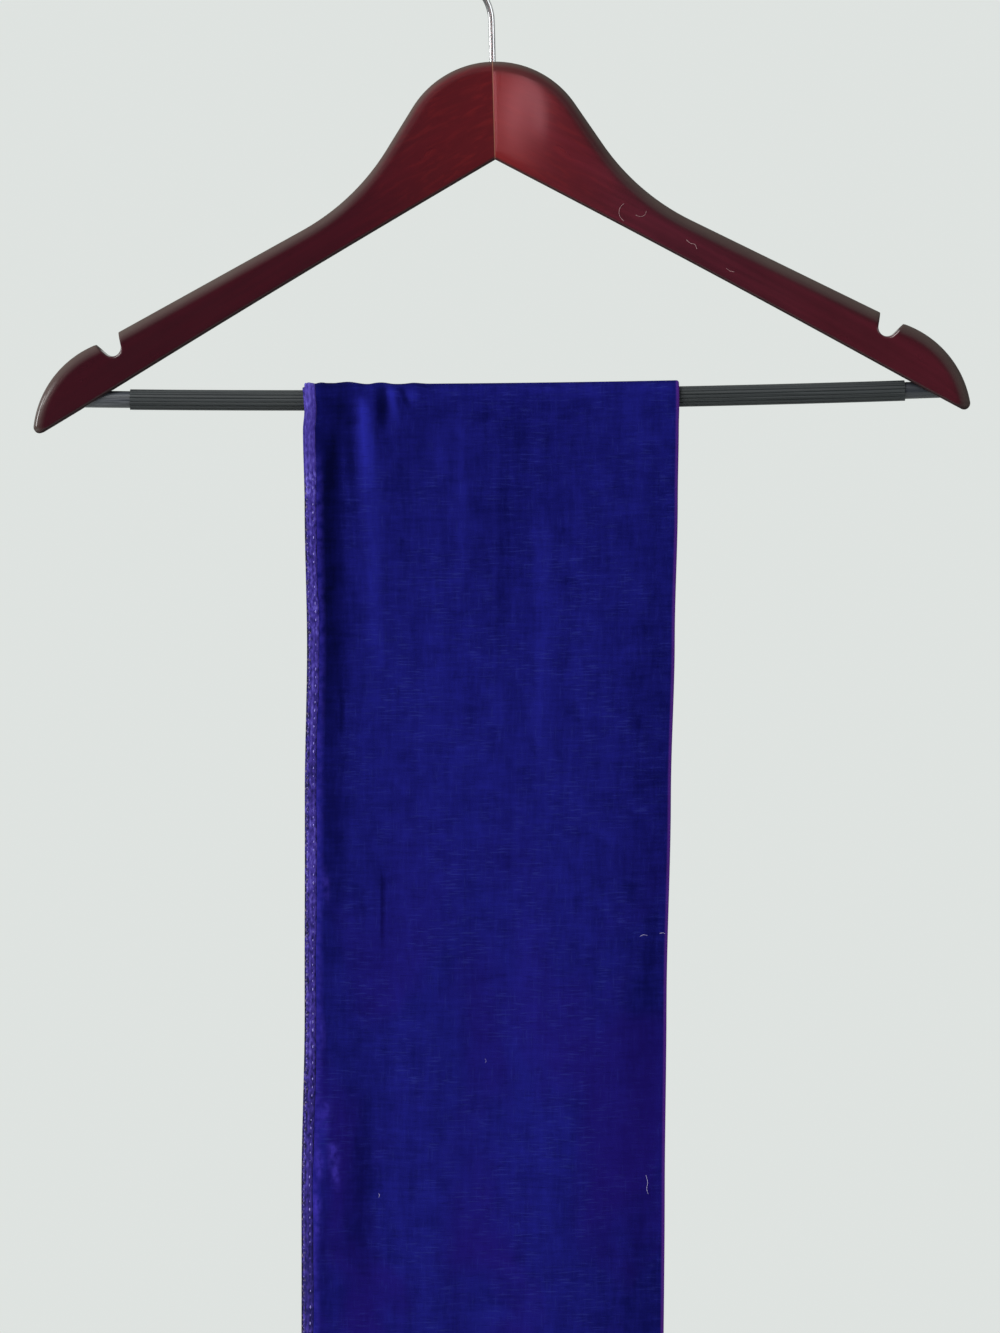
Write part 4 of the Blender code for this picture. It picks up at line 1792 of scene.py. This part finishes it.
BACK_FOLDS = (
    Fold(22, 9, 1.8, -30, 80),
    Fold(42, 8, 1.0, -20, 46),
    Fold(52, 26, 2.6, 150, 860),
    Fold(118, 30, 2.2, 220, 800),
    Fold(31, 5, -0.7, 6, 60),
    Fold(70, 9, 0.5, 10, 150),
    Fold(98, 5, -0.35, 60, 190, 0.04),
    Fold(132, 8, 0.45, 20, 130, -0.03),
    Fold(40, 3, -0.4, 300, 380),
)

# Worn smudges beside the hem on the front fall
FRONT_RUBS = (
    Fold(7.8, 3.0, 0.9, 366, 384),
    Fold(14.0, 4.5, 0.6, 362, 381, 0.1),
    Fold(15.8, 3.0, 0.7, 375, 389),
    Fold(7.0, 2.6, 0.9, 388, 404),
    Fold(7.2, 2.4, 0.7, 402, 412),
    Fold(11.0, 5.0, 0.35, 340, 366, -0.1),
    Fold(9.0, 3.0, 0.5, 232, 250),
    Fold(8.0, 2.4, 0.4, 300, 322),
)

# Strokes of light (rise above zero) and shade on the front and the back fall: the lay of the pile, with
# painted light on ridges and painted shade in troughs
FRONT_NAP_AND_SHADE = (
    Fold(9.5, 12, -0.86, -6, 230),
    Fold(12, 15, -0.60, -14, 26),
    Fold(92, 84, 0.30, 40, 900),
    Fold(19, 5.5, -0.60, -4, 70, -0.14),
    Fold(20.5, 4.5, -0.62, 4, 82, 0.03),
    Fold(28.5, 6.0, 1.42, 5, 66, 0.05),
    Fold(26.5, 3.0, 0.50, 8, 22),
    Fold(30.5, 7, 0.45, 30, 170, 0.01),
    Fold(36.0, 4.0, -0.95, 0, 32),
    Fold(40.5, 3.0, 1.05, 3, 24, 0.12),
    Fold(44.5, 2.6, -0.6, 3, 17, 0.42),
    Fold(50, 5, 0.35, 5, 16),
    Fold(64, 3.5, 0.35, 14, 64),
    Fold(75, 5, 0.26, 6, 130),
    Fold(94, 5, -0.25, 20, 160),
    Fold(114, 8, 0.30, 40, 240),
    Fold(166, 18, -0.35, 10, 1400),
    Fold(16.5, 1.6, -0.6, 148, 174),
    Fold(37.2, 1.7, -0.7, 228, 286),
    Fold(9, 5, 0.55, 338, 400),
    Fold(27, 13, -0.40, 330, 490),
    Fold(14, 9, -0.35, 170, 330),
)
BACK_NAP_AND_SHADE = (
    Fold(16, 8, -0.8, 6, 120),
    Fold(23, 6, 0.9, 6, 80),
    Fold(33, 4, -0.7, 2, 60),
    Fold(42, 4, 0.7, 2, 40),
    Fold(98, 4, -0.4, 60, 190),
    Fold(132, 7, 0.35, 20, 130),
    Fold(164, 16, -0.3, 10, 1400),
    Fold(30, 12, -0.5, 280, 420),
)


@dataclass(frozen=True)
class ScarfForm:
    """Where every point of the folded cloth lies.

    A place on the cut is given by its distance from the outer ply's hem, its height off the middle
    of the ply (outwards is positive), and its length from the top of the bar, positive on the front.
    """

    folded_width: float = 176.5 * MM
    cut_length: float = 1600.0 * MM
    front_share: float = 0.506
    ply: float = 1.1 * MM
    ply_gap: float = 0.4 * MM
    hem_width: float = 4.8 * MM
    hem_spread: float = 0.35 * MM
    spread_reach: float = 1.0 * MM
    least_half: float = 0.32
    thinning_reach: float = 1.5 * MM
    rest_gap: float = 0.3 * MM
    peek: float = 0.9 * MM
    top_shade: float = 0.55
    top_shade_at: float = -1.0 * MM
    top_shade_reach: float = 7.0 * MM
    fringe: float = 0.55
    fringe_wear: float = 0.42
    fringe_end: float = 9.0 * MM
    fringe_reach: float = 4.2 * MM
    fringe_start: float = 26.0 * MM
    fringe_rise: float = 24.0 * MM
    edge_inset: float = 0.3 * MM
    creased_width: float = 60.0 * MM
    column_steps: tuple[int, ...] = (49, 39, 8, 20, 25)
    bend_steps: int = 16
    row_steps: tuple[tuple[float, int], ...] = (
        (60.0 * MM, 20),
        (200.0 * MM, 28),
        (340.0 * MM, 14),
        (420.0 * MM, 28),
    )
    end_steps: int = 36

    @property
    def lift(self) -> float:
        """Height of a ply's middle off the middle of the two plies."""
        return (self.ply + self.ply_gap) / 2

    @property
    def bend_radius(self) -> float:
        """Radius of the middle of the two plies round the bar."""
        return HANGER.sleeve_radius + self.rest_gap + self.ply + self.ply_gap / 2

    @property
    def flat_run(self) -> float:
        """Width of a ply before the fold starts."""
        return self.folded_width - self.lift

    @property
    def cut_width(self) -> float:
        """Width of the cloth from hem to hem."""
        return 2 * self.flat_run + math.pi * self.lift

    @property
    def front_end(self) -> float:
        """Length of the front fall from the top of the bar."""
        return self.cut_length * self.front_share

    @property
    def back_end(self) -> float:
        """Length of the back fall from the top of the bar."""
        return self.cut_length - self.front_end

    def edge_places(self, below: Array) -> tuple[Array, Array]:
        """The left and right edges at lengths below the bar's top.

        Args:
            below: Lengths of cloth, in metres.

        Returns:
            X of the left and of the right edge.
        """
        rows = np.array([edge.below for edge in EDGES]) * MM
        row = np.clip(np.searchsorted(rows, below, "right") - 1, 0, len(rows) - 2)
        part = ease((below - rows[row]) / (rows[row + 1] - rows[row]))
        places = []
        for side in ("left", "right"):
            x = np.array([getattr(edge, side) for edge in EDGES]) * MM
            places.append(x[row] + (x[row + 1] - x[row]) * part)
        return places[0], places[1]

    def across_and_lift(self, width: Array, off: Array) -> tuple[Array, Array]:
        """Turns a place on the cut's width into a place across the folded scarf and a lift.

        Args:
            width: Distance from the outer ply's hem along the cut.
            off: Height off the ply's middle.

        Returns:
            Place across and lift off the middle of the two plies.
        """
        turned = np.clip((width - self.flat_run) / self.lift, 0.0, math.pi)
        inner = np.clip(width - self.flat_run - math.pi * self.lift, 0.0, None)
        outer = np.minimum(width, self.flat_run)
        reach = self.lift + off
        stretch = 1.0 + self.peek / self.flat_run
        across = outer + reach * np.sin(turned) - inner * stretch
        lift = reach * np.cos(turned)
        near_hem = 1.0 - ease((width - self.hem_width) / self.spread_reach)
        return across, lift + self.hem_spread * near_hem * (width < self.flat_run)

    def points(self, width: Array, off: Array, run: Array) -> Array:
        """Places of points of the cloth.

        Args:
            width: Distances from the outer ply's hem.
            off: Heights off the ply's middle.
            run: Lengths from the top of the bar.

        Returns:
            Three numbers a point.
        """
        across, lift = self.across_and_lift(width, off)
        below = np.abs(run)
        left, right = self.edge_places(below)
        x = left + (right - left) * across / self.folded_width
        rise = lift.copy()
        for fold in FRONT_FOLDS:
            rise += fold.height(across, run)
        for fold in BACK_FOLDS:
            rise += fold.height(across, -run)
        turn = np.minimum(below / self.bend_radius, math.pi / 2)
        reach = self.bend_radius + rise
        drop = np.maximum(below - self.bend_radius * math.pi / 2, 0.0)
        y = -HANGER.bar_forward - np.sign(run) * np.sin(turn) * reach
        z = HANGER.leaning_bar_height(x) + np.cos(turn) * reach - drop
        return np.stack([x, y, z], axis=1)

    def nap_and_shade(self, width: Array, run: Array) -> Array:
        """How light or dark the pile lies, with the painted light and shade of the folds and over the bar,
        from about -1 to 1.

        Args:
            width: Distances from the outer ply's hem.
            run: Lengths from the top of the bar.

        Returns:
            One number a point.
        """
        across, _ = self.across_and_lift(width, np.zeros_like(width))
        tone = np.zeros_like(width)
        for stroke in FRONT_NAP_AND_SHADE:
            tone += stroke.rise * stroke.share(across, run)
        for stroke in BACK_NAP_AND_SHADE:
            tone += stroke.rise * stroke.share(across, -run)
        tone += self.fringe * self.beside_hem(width, run)
        # Painted shade where the cloth turns up over the top of the bar
        from_shade = np.abs(run - self.top_shade_at)
        return tone - self.top_shade * ease(1.0 - from_shade / self.top_shade_reach)

    def beside_hem(self, width: Array, run: Array) -> Array:
        """Nearness to a hem, left out near the bar.

        Args:
            width: Distances from the outer ply's hem.
            run: Lengths from the top of the bar.

        Returns:
            Shares from 1 at the hem to 0 a little way in.
        """
        from_hem = np.minimum(width, self.cut_width - width)
        beside = ease((self.fringe_end - from_hem) / self.fringe_reach)
        return beside * ease((np.abs(run) - self.fringe_start) / self.fringe_rise)

    def rub(self, width: Array, run: Array) -> Array:
        """How worn the pile is.

        Args:
            width: Distances from the outer ply's hem.
            run: Lengths from the top of the bar.

        Returns:
            Shares from 0 to about 1.
        """
        across, _ = self.across_and_lift(width, np.zeros_like(width))
        patches = sum(patch.rise * patch.share(across, run) for patch in FRONT_RUBS)
        return patches * (width < self.flat_run) + self.fringe_wear * self.beside_hem(width, run)

    def uv(self, width: Array, run: Array) -> Array:
        """Place on the cut as shares of its length, both ways."""
        return np.stack([width, run + self.back_end], axis=1) / self.cut_length

    def rows(self) -> Array:
        """Where the cloth has rows, closer over the bar and near it.

        Returns:
            Lengths from the top of the bar, from the back end to the front.
        """
        stretches = ((self.bend_radius * math.pi / 2, self.bend_steps), *self.row_steps)
        back = spaced(0.0, (*stretches, (self.back_end, self.end_steps)))
        front = spaced(0.0, (*stretches, (self.front_end, self.end_steps)))
        return np.concatenate([-back[:0:-1], front])

    def columns(self) -> Array:
        """Where the cloth has columns, closer at the creases and round the fold.

        Returns:
            Distances from the outer hem.
        """
        stops = (
            self.creased_width,
            self.flat_run,
            self.cut_width - self.flat_run,
            self.cut_width - self.creased_width,
            self.cut_width - self.edge_inset,
        )
        return spaced(self.edge_inset, zip(stops, self.column_steps))

    def half_ply(self, width: Array) -> Array:
        """Half the cloth's thickness, thinner inside the turned hems.

        Args:
            width: Distances from the outer ply's hem.

        Returns:
            Half thicknesses.
        """
        from_hem = np.minimum(width, self.cut_width - width)
        full = ease((from_hem - self.hem_width) / self.thinning_reach)
        return self.ply * (self.least_half + (0.5 - self.least_half) * full)


class HemEdge(Enum):
    """The four edges of the cut, each with its number and the name of its hem."""

    OUTER = (0, "scarf_outer_hem")
    INNER = (1, "scarf_inner_hem")
    FRONT_END = (2, "scarf_front_end_hem")
    BACK_END = (3, "scarf_back_end_hem")

    @property
    def number(self) -> int:
        """Number of the edge."""
        return self.value[0]

    @property
    def piece(self) -> str:
        """Name of the hem's piece."""
        return self.value[1]

    def reach(self, form: ScarfForm) -> Pair:
        """Where the edge starts and stops.

        Args:
            form: The cloth's form.

        Returns:
            Both places, along the edge itself.
        """
        if self in (HemEdge.OUTER, HemEdge.INNER):
            return -form.back_end, form.front_end
        return form.edge_inset, form.cut_width - form.edge_inset

    def place(
        self, form: ScarfForm, inward: Array, along: Array
    ) -> tuple[Array, Array]:
        """Turns a place at the edge into a place on the cut.

        Args:
            form: The cloth's form.
            inward: Distances from the edge.
            along: Places along the edge.

        Returns:
            Distances from the outer hem, and lengths from the top of the bar.
        """
        if self is HemEdge.OUTER:
            return inward, along
        if self is HemEdge.INNER:
            return form.cut_width - inward, along
        if self is HemEdge.FRONT_END:
            return along, form.front_end - inward
        return along, inward - form.back_end


@dataclass(frozen=True)
class HemPoint:
    """A point of the turned hem's section, in millimetres: across, off the ply, and its tone."""

    across: float
    off: float
    tone: float


# Section of the turned hem; its tones paint highlights on the roll's crests and shade under the roll
HEM_OUTSIDE = (
    HemPoint(4.90, 0.36, 0.42),
    HemPoint(4.50, 0.47, 0.46),
    HemPoint(4.05, 0.64, 0.54),
    HemPoint(3.65, 0.74, 0.60),
    HemPoint(3.30, 0.72, 0.52),
    HemPoint(2.80, 0.84, 0.56),
    HemPoint(2.30, 0.96, 0.66),
    HemPoint(1.80, 0.98, 0.62),
    HemPoint(1.20, 0.84, 0.42),
    HemPoint(0.85, 0.66, 0.27),
    HemPoint(0.50, 0.74, 0.38),
    HemPoint(0.15, 0.60, 0.30),
    HemPoint(-0.05, 0.30, 0.14),
    HemPoint(-0.10, -0.10, 0.02),
    HemPoint(0.10, -0.45, 0.06),
    HemPoint(0.50, -0.62, 0.15),
    HemPoint(1.40, -0.58, 0.20),
)
HEM_INSIDE = (
    HemPoint(1.45, -0.40, 0.20),
    HemPoint(0.30, -0.38, 0.20),
    HemPoint(0.05, 0.00, 0.20),
    HemPoint(0.30, 0.39, 0.20),
    HemPoint(2.50, 0.38, 0.20),
)


@dataclass(frozen=True)
class HemTone:
    """How much lighter the hem and its outer roll are, by the millimetres of cloth from the bar's top."""

    below: float
    tone: float
    roll: float


HEM_TONES = (
    HemTone(0.0, 0.02, 0.36),
    HemTone(46.0, 0.02, 0.36),
    HemTone(60.0, -0.05, 0.12),
    HemTone(150.0, -0.08, 0.08),
    HemTone(185.0, -0.10, 0.08),
    HemTone(240.0, -0.06, 0.10),
    HemTone(300.0, -0.08, 0.10),
    HemTone(345.0, -0.13, 0.08),
    HemTone(385.0, -0.17, 0.06),
    HemTone(402.0, -0.22, 0.04),
    HemTone(820.0, -0.18, 0.04),
)


@dataclass(frozen=True)
class Scarf:
    """The velvet scarf: one cloth, its turned hems, their stitches and some loose lint."""

    form: ScarfForm
    lint_radius: float = 0.12 * MM
    lint: tuple[tuple[Pair, ...], ...] = (
        ((163.4, 266.2), (165.2, 265.4), (167.2, 265.8)),
        ((173.0, 265.0), (174.6, 264.6), (175.8, 265.2)),
        ((88.0, 323.8), (88.6, 324.8), (88.2, 325.8)),
        ((36.9, 388.4), (37.4, 389.3), (37.0, 390.2)),
        ((167.8, 380.6), (168.6, 384.0), (168.2, 387.0), (168.8, 389.6)),
        ((70.0, -214.0), (71.6, -215.0), (72.0, -217.0)),
        ((131.0, -402.0), (132.2, -403.0), (134.0, -402.8)),
    )
    plain_length: float = 42.0 * MM
    stitch_pitch: float = 3.9 * MM
    stitch_length: float = 1.5 * MM
    stitch_across: float = 3.34 * MM
    stitch_off: float = 0.80 * MM
    rows_per_stitch: int = 4
    pucker: float = 0.10 * MM
    pucker_reach: float = 0.9 * MM
    thread_radius: float = 0.31 * MM
    edge_across: float = 0.35 * MM
    edge_off: float = 0.62 * MM
    edge_pitch: float = 1.9 * MM
    edge_length: float = 0.8 * MM
    edge_radius: float = 0.2 * MM
    seam_inset: float = 1.5 * MM
    seam_step: float = 1.5 * MM
    stray: Pair = (0.22 * MM, 61.0)
    fine_stray: Pair = (0.12 * MM, 173.0)
    stray_start: float = 3.0
    fine_start: float = 1.0

    def cloth(self, finish: Material) -> Object:
        """Makes the folded cloth as one closed shell.

        Args:
            finish: Its velvet.

        Returns:
            The piece.
        """
        columns, rows = self.form.columns(), self.form.rows()
        width, run = np.meshgrid(columns, rows)
        width, run = width.ravel(), run.ravel()
        half = self.form.half_ply(width)
        sides = [self.form.points(width, off, run) for off in (half, -half)]
        places = ("cloth", self.form.uv(width, run))
        numbers = {"nap_and_shade": self.form.nap_and_shade(width, run), "rub": self.form.rub(width, run)}
        return shell_piece("scarf_cloth", sides, (len(rows), len(columns)), finish, places, numbers)

    def hem(self, edge: HemEdge, finish: Material) -> Object:
        """Makes the turned hem along one edge of the cut.

        Args:
            edge: Which edge.
            finish: Its cloth.

        Returns:
            The piece.
        """
        section = HEM_OUTSIDE + HEM_INSIDE
        start, stop = edge.reach(self.form)
        along = np.append(np.arange(start, stop, self.stitch_pitch / self.rows_per_stitch), stop)
        across = np.array([point.across for point in section]) * MM
        off = np.array([point.off for point in section]) * MM
        tone = np.array([point.tone for point in section])
        phase = (along - start) / self.stitch_pitch
        drawn_in = self.pucker * (1 - np.abs(np.sin(math.pi * phase)))
        outside = np.array([1.0] * len(HEM_OUTSIDE) + [0.0] * len(HEM_INSIDE))
        near_stitch = np.exp(-(((across - self.stitch_across) / self.pucker_reach) ** 2)) * outside
        strays = across / self.form.hem_width * outside
        inward = across[None, :] + self.wander(along, edge)[:, None] * strays[None, :]
        height = off[None, :] - drawn_in[:, None] * (near_stitch * (off > 0))[None, :]
        along = np.repeat(along[:, None], len(section), axis=1)
        place, run = edge.place(self.form, inward.ravel(), along.ravel())
        vertices = self.form.points(place, height.ravel(), run)
        rows, ring = len(along), len(section)
        faces = []
        for row in range(rows - 1):
            for i in range(ring):
                j = (i + 1) % ring
                faces.append((row * ring + i, row * ring + j, (row + 1) * ring + j, (row + 1) * ring + i))
        faces += [tuple(range(ring)), tuple(range((rows - 1) * ring, rows * ring))]
        below = [at.below for at in HEM_TONES]
        shift = np.interp(np.abs(run) / MM, below, [at.tone for at in HEM_TONES])
        roll = np.interp(np.abs(run) / MM, below, [at.roll for at in HEM_TONES])
        band = np.tile(tone, rows)
        # Lighter near the bar and darker further down, for the hem's face and for its outer roll
        length_tone = np.where(band > HemFinish.roll_start, shift, roll)
        numbers = {"band": band, "length_tone": length_tone}
        return mesh_piece(edge.piece, vertices, faces, finish, ("cloth", self.form.uv(place, run)), numbers)

    def seam_lines(self, inward: float, off: float, edge: HemEdge) -> list[Array]:
        """Points of a row of stitches along an edge, left out near the bar.

        Args:
            inward: Distance from the edge.
            off: Height off the ply's middle.
            edge: Which edge.

        Returns:
            The points of each stretch.
        """
        start, stop = edge.reach(self.form)
        stretches = [(start, stop)]
        if edge in (HemEdge.OUTER, HemEdge.INNER):
            stretches = [(start, -self.plain_length), (self.plain_length, stop)]
        lines = []
        for first, last in stretches:
            along = np.arange(first + self.seam_inset, last - self.seam_inset, self.seam_step)
            strayed = inward + self.wander(along, edge) * inward / self.form.hem_width
            place, run = edge.place(self.form, strayed, along)
            lines.append(self.form.points(place, np.full_like(run, off), run))
        return lines

    def wander(self, along: Array, edge: HemEdge) -> Array:
        """How far the hem's inner border strays from straight.

        Args:
            along: Places along the edge.
            edge: Which edge.

        Returns:
            One distance a place.
        """
        size, pace = self.stray
        fine_size, fine_pace = self.fine_stray
        broad = size * np.sin(along * pace + self.stray_start * edge.number)
        return broad + fine_size * np.sin(along * fine_pace + self.fine_start)

    def build(self) -> dict[str, Object]:
        """Makes the scarf's pieces.

        Returns:
            The pieces by name.
        """
        scale = self.form.cut_length
        velvet = VelvetFinish(
            "indigo_velvet",
            roughness=0.85,
            specular=0.02,
            sheen=0.12,
            sheen_roughness=0.3,
            sheen_tint=(0.10, 0.10, 0.85),
            cloth_scale=scale,
            fold_at=self.form.flat_run + self.form.lift * math.pi / 2,
            top_of_bar=self.form.back_end,
        ).material()
        violet = HemFinish(
            "violet_hem",
            roughness=0.6,
            specular=0.15,
            sheen=0.1,
            sheen_tint=(0.35, 0.28, 1.0),
            cloth_scale=scale,
            top_of_bar=self.form.back_end,
        ).material()
        thread = ThreadFinish("hem_thread", roughness=0.6, specular=0.3).material()
        pieces = [self.cloth(velvet)] + [self.hem(edge, violet) for edge in HemEdge]
        for edge in HemEdge:
            seam = self.seam_lines(self.stitch_across, self.stitch_off, edge)
            overcast = self.seam_lines(self.edge_across, self.edge_off, edge)
            for label, lines, pitch, length, radius in (
                ("_stitches", seam, self.stitch_pitch, self.stitch_length, self.thread_radius),
                ("_edge_stitches", overcast, self.edge_pitch, self.edge_length, self.edge_radius),
            ):
                name = edge.piece + label
                pieces.append(sewn_stitches(name, lines, pitch, length, radius, thread, len(pieces)))
        pieces.append(self.loose_lint())
        return {piece.name: piece for piece in pieces}

    def loose_lint(self) -> Object:
        """Lays a few pale fibres on the outer ply.

        Returns:
            One mesh of all the fibres.
        """
        lines = []
        for strand in self.lint:
            width, run = smooth_line(np.array(strand) * MM).T
            lines.append(self.form.points(width, np.full_like(width, self.form.ply / 2), run))
        finish = ThreadFinish(
            "pale_lint", roughness=0.7, dark=(0.12, 0.10, 0.32), light=(0.36, 0.34, 0.54)
        ).material()
        return fibres("scarf_lint", lines, self.lint_radius, finish)


# Studio


@dataclass(frozen=True)
class Softbox:
    """A square light that faces the object."""

    name: str
    place: Triple
    size: Pair
    power: float
    colour: Colour = (1.0, 1.0, 1.0)
    target: Triple = (0.0, 0.0, -0.36)

    def build(self) -> None:
        """Hangs the light in the scene."""
        light = bpy.data.lights.new(self.name, "AREA")
        light.shape = "RECTANGLE"
        light.size, light.size_y = self.size
        light.energy = self.power
        light.color = self.colour
        lamp = bpy.data.objects.new(self.name, light)
        lamp.location = self.place
        heading = Vector(self.target) - Vector(self.place)
        lamp.rotation_euler = heading.to_track_quat("-Z", "Y").to_euler()
        bpy.context.scene.collection.objects.link(lamp)


@dataclass(frozen=True)
class Studio:
    """The camera, the lights, the pale surround and the floor.

    The camera stands far off at the height of the arms, which hides their undersides, and looks down
    a little to take in the cloth.
    """

    distance: float = 3.0
    raised: float = 200.0 * MM
    turned: float = math.radians(1.0)
    target: Triple = (5.6 * MM, -14.2 * MM, -357.8 * MM)
    metres_per_pixel: float = 0.4745 * MM
    image_height: int = 1333
    sensor: float = 36.0
    clip: Pair = (0.01, 50.0)
    surround: Colour = (0.735, 0.768, 0.748)
    front_light: float = 0.10
    back_light: float = 0.55
    top_light: float = 0.30
    level_ends: Pair = (-0.30, 0.12)
    behind_ends: Pair = (-0.35, 0.60)
    top_ends: Pair = (0.15, 0.95)
    least_behind: float = 0.15
    floor_height: float = -1.075
    floor_radius: float = 1.45
    floor_sides: int = 96

    def camera(self) -> None:
        """Places the camera at the arms' height, a little to the right."""
        data = bpy.data.cameras.new("camera")
        data.sensor_width = self.sensor
        data.lens = self.distance / self.metres_per_pixel * self.sensor / self.image_height
        data.clip_start, data.clip_end = self.clip
        camera = bpy.data.objects.new("camera", data)
        x, y, z = self.target
        camera.location = (
            x + self.distance * math.sin(self.turned),
            y - self.distance * math.cos(self.turned),
            z + self.raised,
        )
        heading = Vector(self.target) - camera.location
        camera.rotation_euler = heading.to_track_quat("-Z", "Y").to_euler()
        bpy.context.scene.collection.objects.link(camera)
        bpy.context.scene.camera = camera

    def world(self) -> None:
        """Surrounds the object with pale walls, which give less light from the viewer's side."""
        world = bpy.data.worlds.new("pale_surround")
        world.use_nodes = True
        background = world.node_tree.nodes["Background"]
        background.inputs["Color"].default_value = (*self.surround, 1.0)
        graph = Graph(world.node_tree)
        direction = graph.add("ShaderNodeTexCoord", output="Generated")
        backwards, upwards = graph.side(direction, "Y"), graph.side(direction, "Z")
        above = graph.step(upwards, *self.level_ends) * (1.0 - self.least_behind) + self.least_behind
        behind = graph.step(backwards, *self.behind_ends) * above
        given = self.front_light + behind * self.back_light
        given = given + graph.step(upwards, *self.top_ends) * self.top_light
        seen = graph.add("ShaderNodeLightPath", output="Is Camera Ray")
        graph.feed(background.inputs["Strength"], seen + (1.0 - seen) * given)
        bpy.context.scene.world = world
        bpy.context.scene.view_settings.view_transform = "Standard"

    def floor(self) -> None:
        """Lays a round floor under the scarf, small enough to stay below the main view."""
        turns = np.linspace(0.0, 2 * math.pi, self.floor_sides, endpoint=False)
        height = np.full_like(turns, self.floor_height)
        rim = np.stack([np.cos(turns), np.sin(turns)], axis=1) * self.floor_radius
        vertices = np.column_stack([rim, height])
        finish = FloorFinish("pale_floor", roughness=0.8, specular=0.2).material()
        floor = mesh_piece("floor", vertices, [tuple(range(self.floor_sides))], finish)

    def build(self) -> None:
        """Sets up all of it."""
        self.camera()
        self.world()
        self.floor()
        boxes = (
            Softbox("key_light", (-1.55, -1.75, 1.35), (2.0, 2.0), 98.0, (1.0, 0.985, 0.96)),
            Softbox("fill_light", (1.9, -1.6, 0.4), (1.4, 1.4), 14.0, (0.96, 0.98, 1.0)),
            Softbox("gloss_light", (-0.50, -2.40, 0.02), (0.065, 0.24), 0.50, (1.0, 0.46, 0.52)),
            Softbox("side_light", (-2.2, -0.32, 0.16), (0.5, 1.0), 18.0),
        )
        for box in boxes:
            box.build()


def dress(piece: Object, slot: str, *nodes: str) -> None:
    """Attaches a piece to the body that it rides on, and hides the solids that it stands for.

    Args:
        piece: The piece.
        slot: Not used.
        nodes: The solids that it replaces.
    """
    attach(piece, BODY)
    if nodes:
        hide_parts(*nodes)
    LOG.info("%s: %d faces", piece.name, len(piece.data.polygons))


def build_hanger() -> None:
    """Makes the hanger's pieces and dresses them."""
    gloss = {"roughness": 0.24, "specular": 0.2, "coat": 0.7, "coat_roughness": 0.12}
    lacquers = {
        Side.LEFT: LacquerFinish(
            "mahogany_left", board_scale=WoodenHalf.board_length, tip_shade=0.55, glossy_tip=1.0, **gloss
        ).material(),
        Side.RIGHT: LacquerFinish(
            "mahogany_right",
            # Lighter body than the left half: a painted reflection of the bright room over the right half
            body=(0.104, 0.0098, 0.0230),
            board_scale=WoodenHalf.board_length,
            warm_joint=0.34,
            warm_seam=0.36,
            warm_tip=0.10,
            tip_shade=0.40,
            shadow_line=0.65,
            **gloss,
        ).material(),
    }
    steel = WireFinish("plated_wire", roughness=0.20, metallic=1.0).material()
    rubber = SleeveFinish("sleeve_rubber", roughness=0.55, specular=0.4).material()
    paint = RodFinish("rod_paint", roughness=0.38).material()
    bar, hook = Bar(), Hook()
    holes = [bar.bore(), hook.hole()]
    for side, node in ((Side.LEFT, "hanger_arm_left"), (Side.RIGHT, "hanger_arm_right")):
        dress(WoodenHalf(side).build(lacquers[side], holes), "lacquered_wood", node)
    for hole in holes:
        bpy.data.objects.remove(hole, do_unlink=True)
    dress(bar.rod(paint), "rod_paint", "hanger_bar_rod")
    dress(bar.sleeve(rubber), "ribbed_sleeve", "hanger_bar_sleeve")
    dress(hook.build(steel), "plated_wire", "hanger_hook")
    dress(Scuffs().build(), "lacquered_wood")


def build_scarf() -> None:
    form = ScarfForm()
    pieces = Scarf(form).build()
    cloth = pieces.pop("scarf_cloth")
    dress(cloth, "velvet", "scarf_front_fall", "scarf_over_bar", "scarf_back_fall")
    for piece in pieces.values():
        dress(piece, "velvet")


def main() -> None:
    """Builds everything in order."""
    logging.basicConfig(level=logging.INFO, format="%(name)s: %(message)s")
    Studio().build()
    build_hanger()
    build_scarf()


if __name__ == "__main__":
    main()
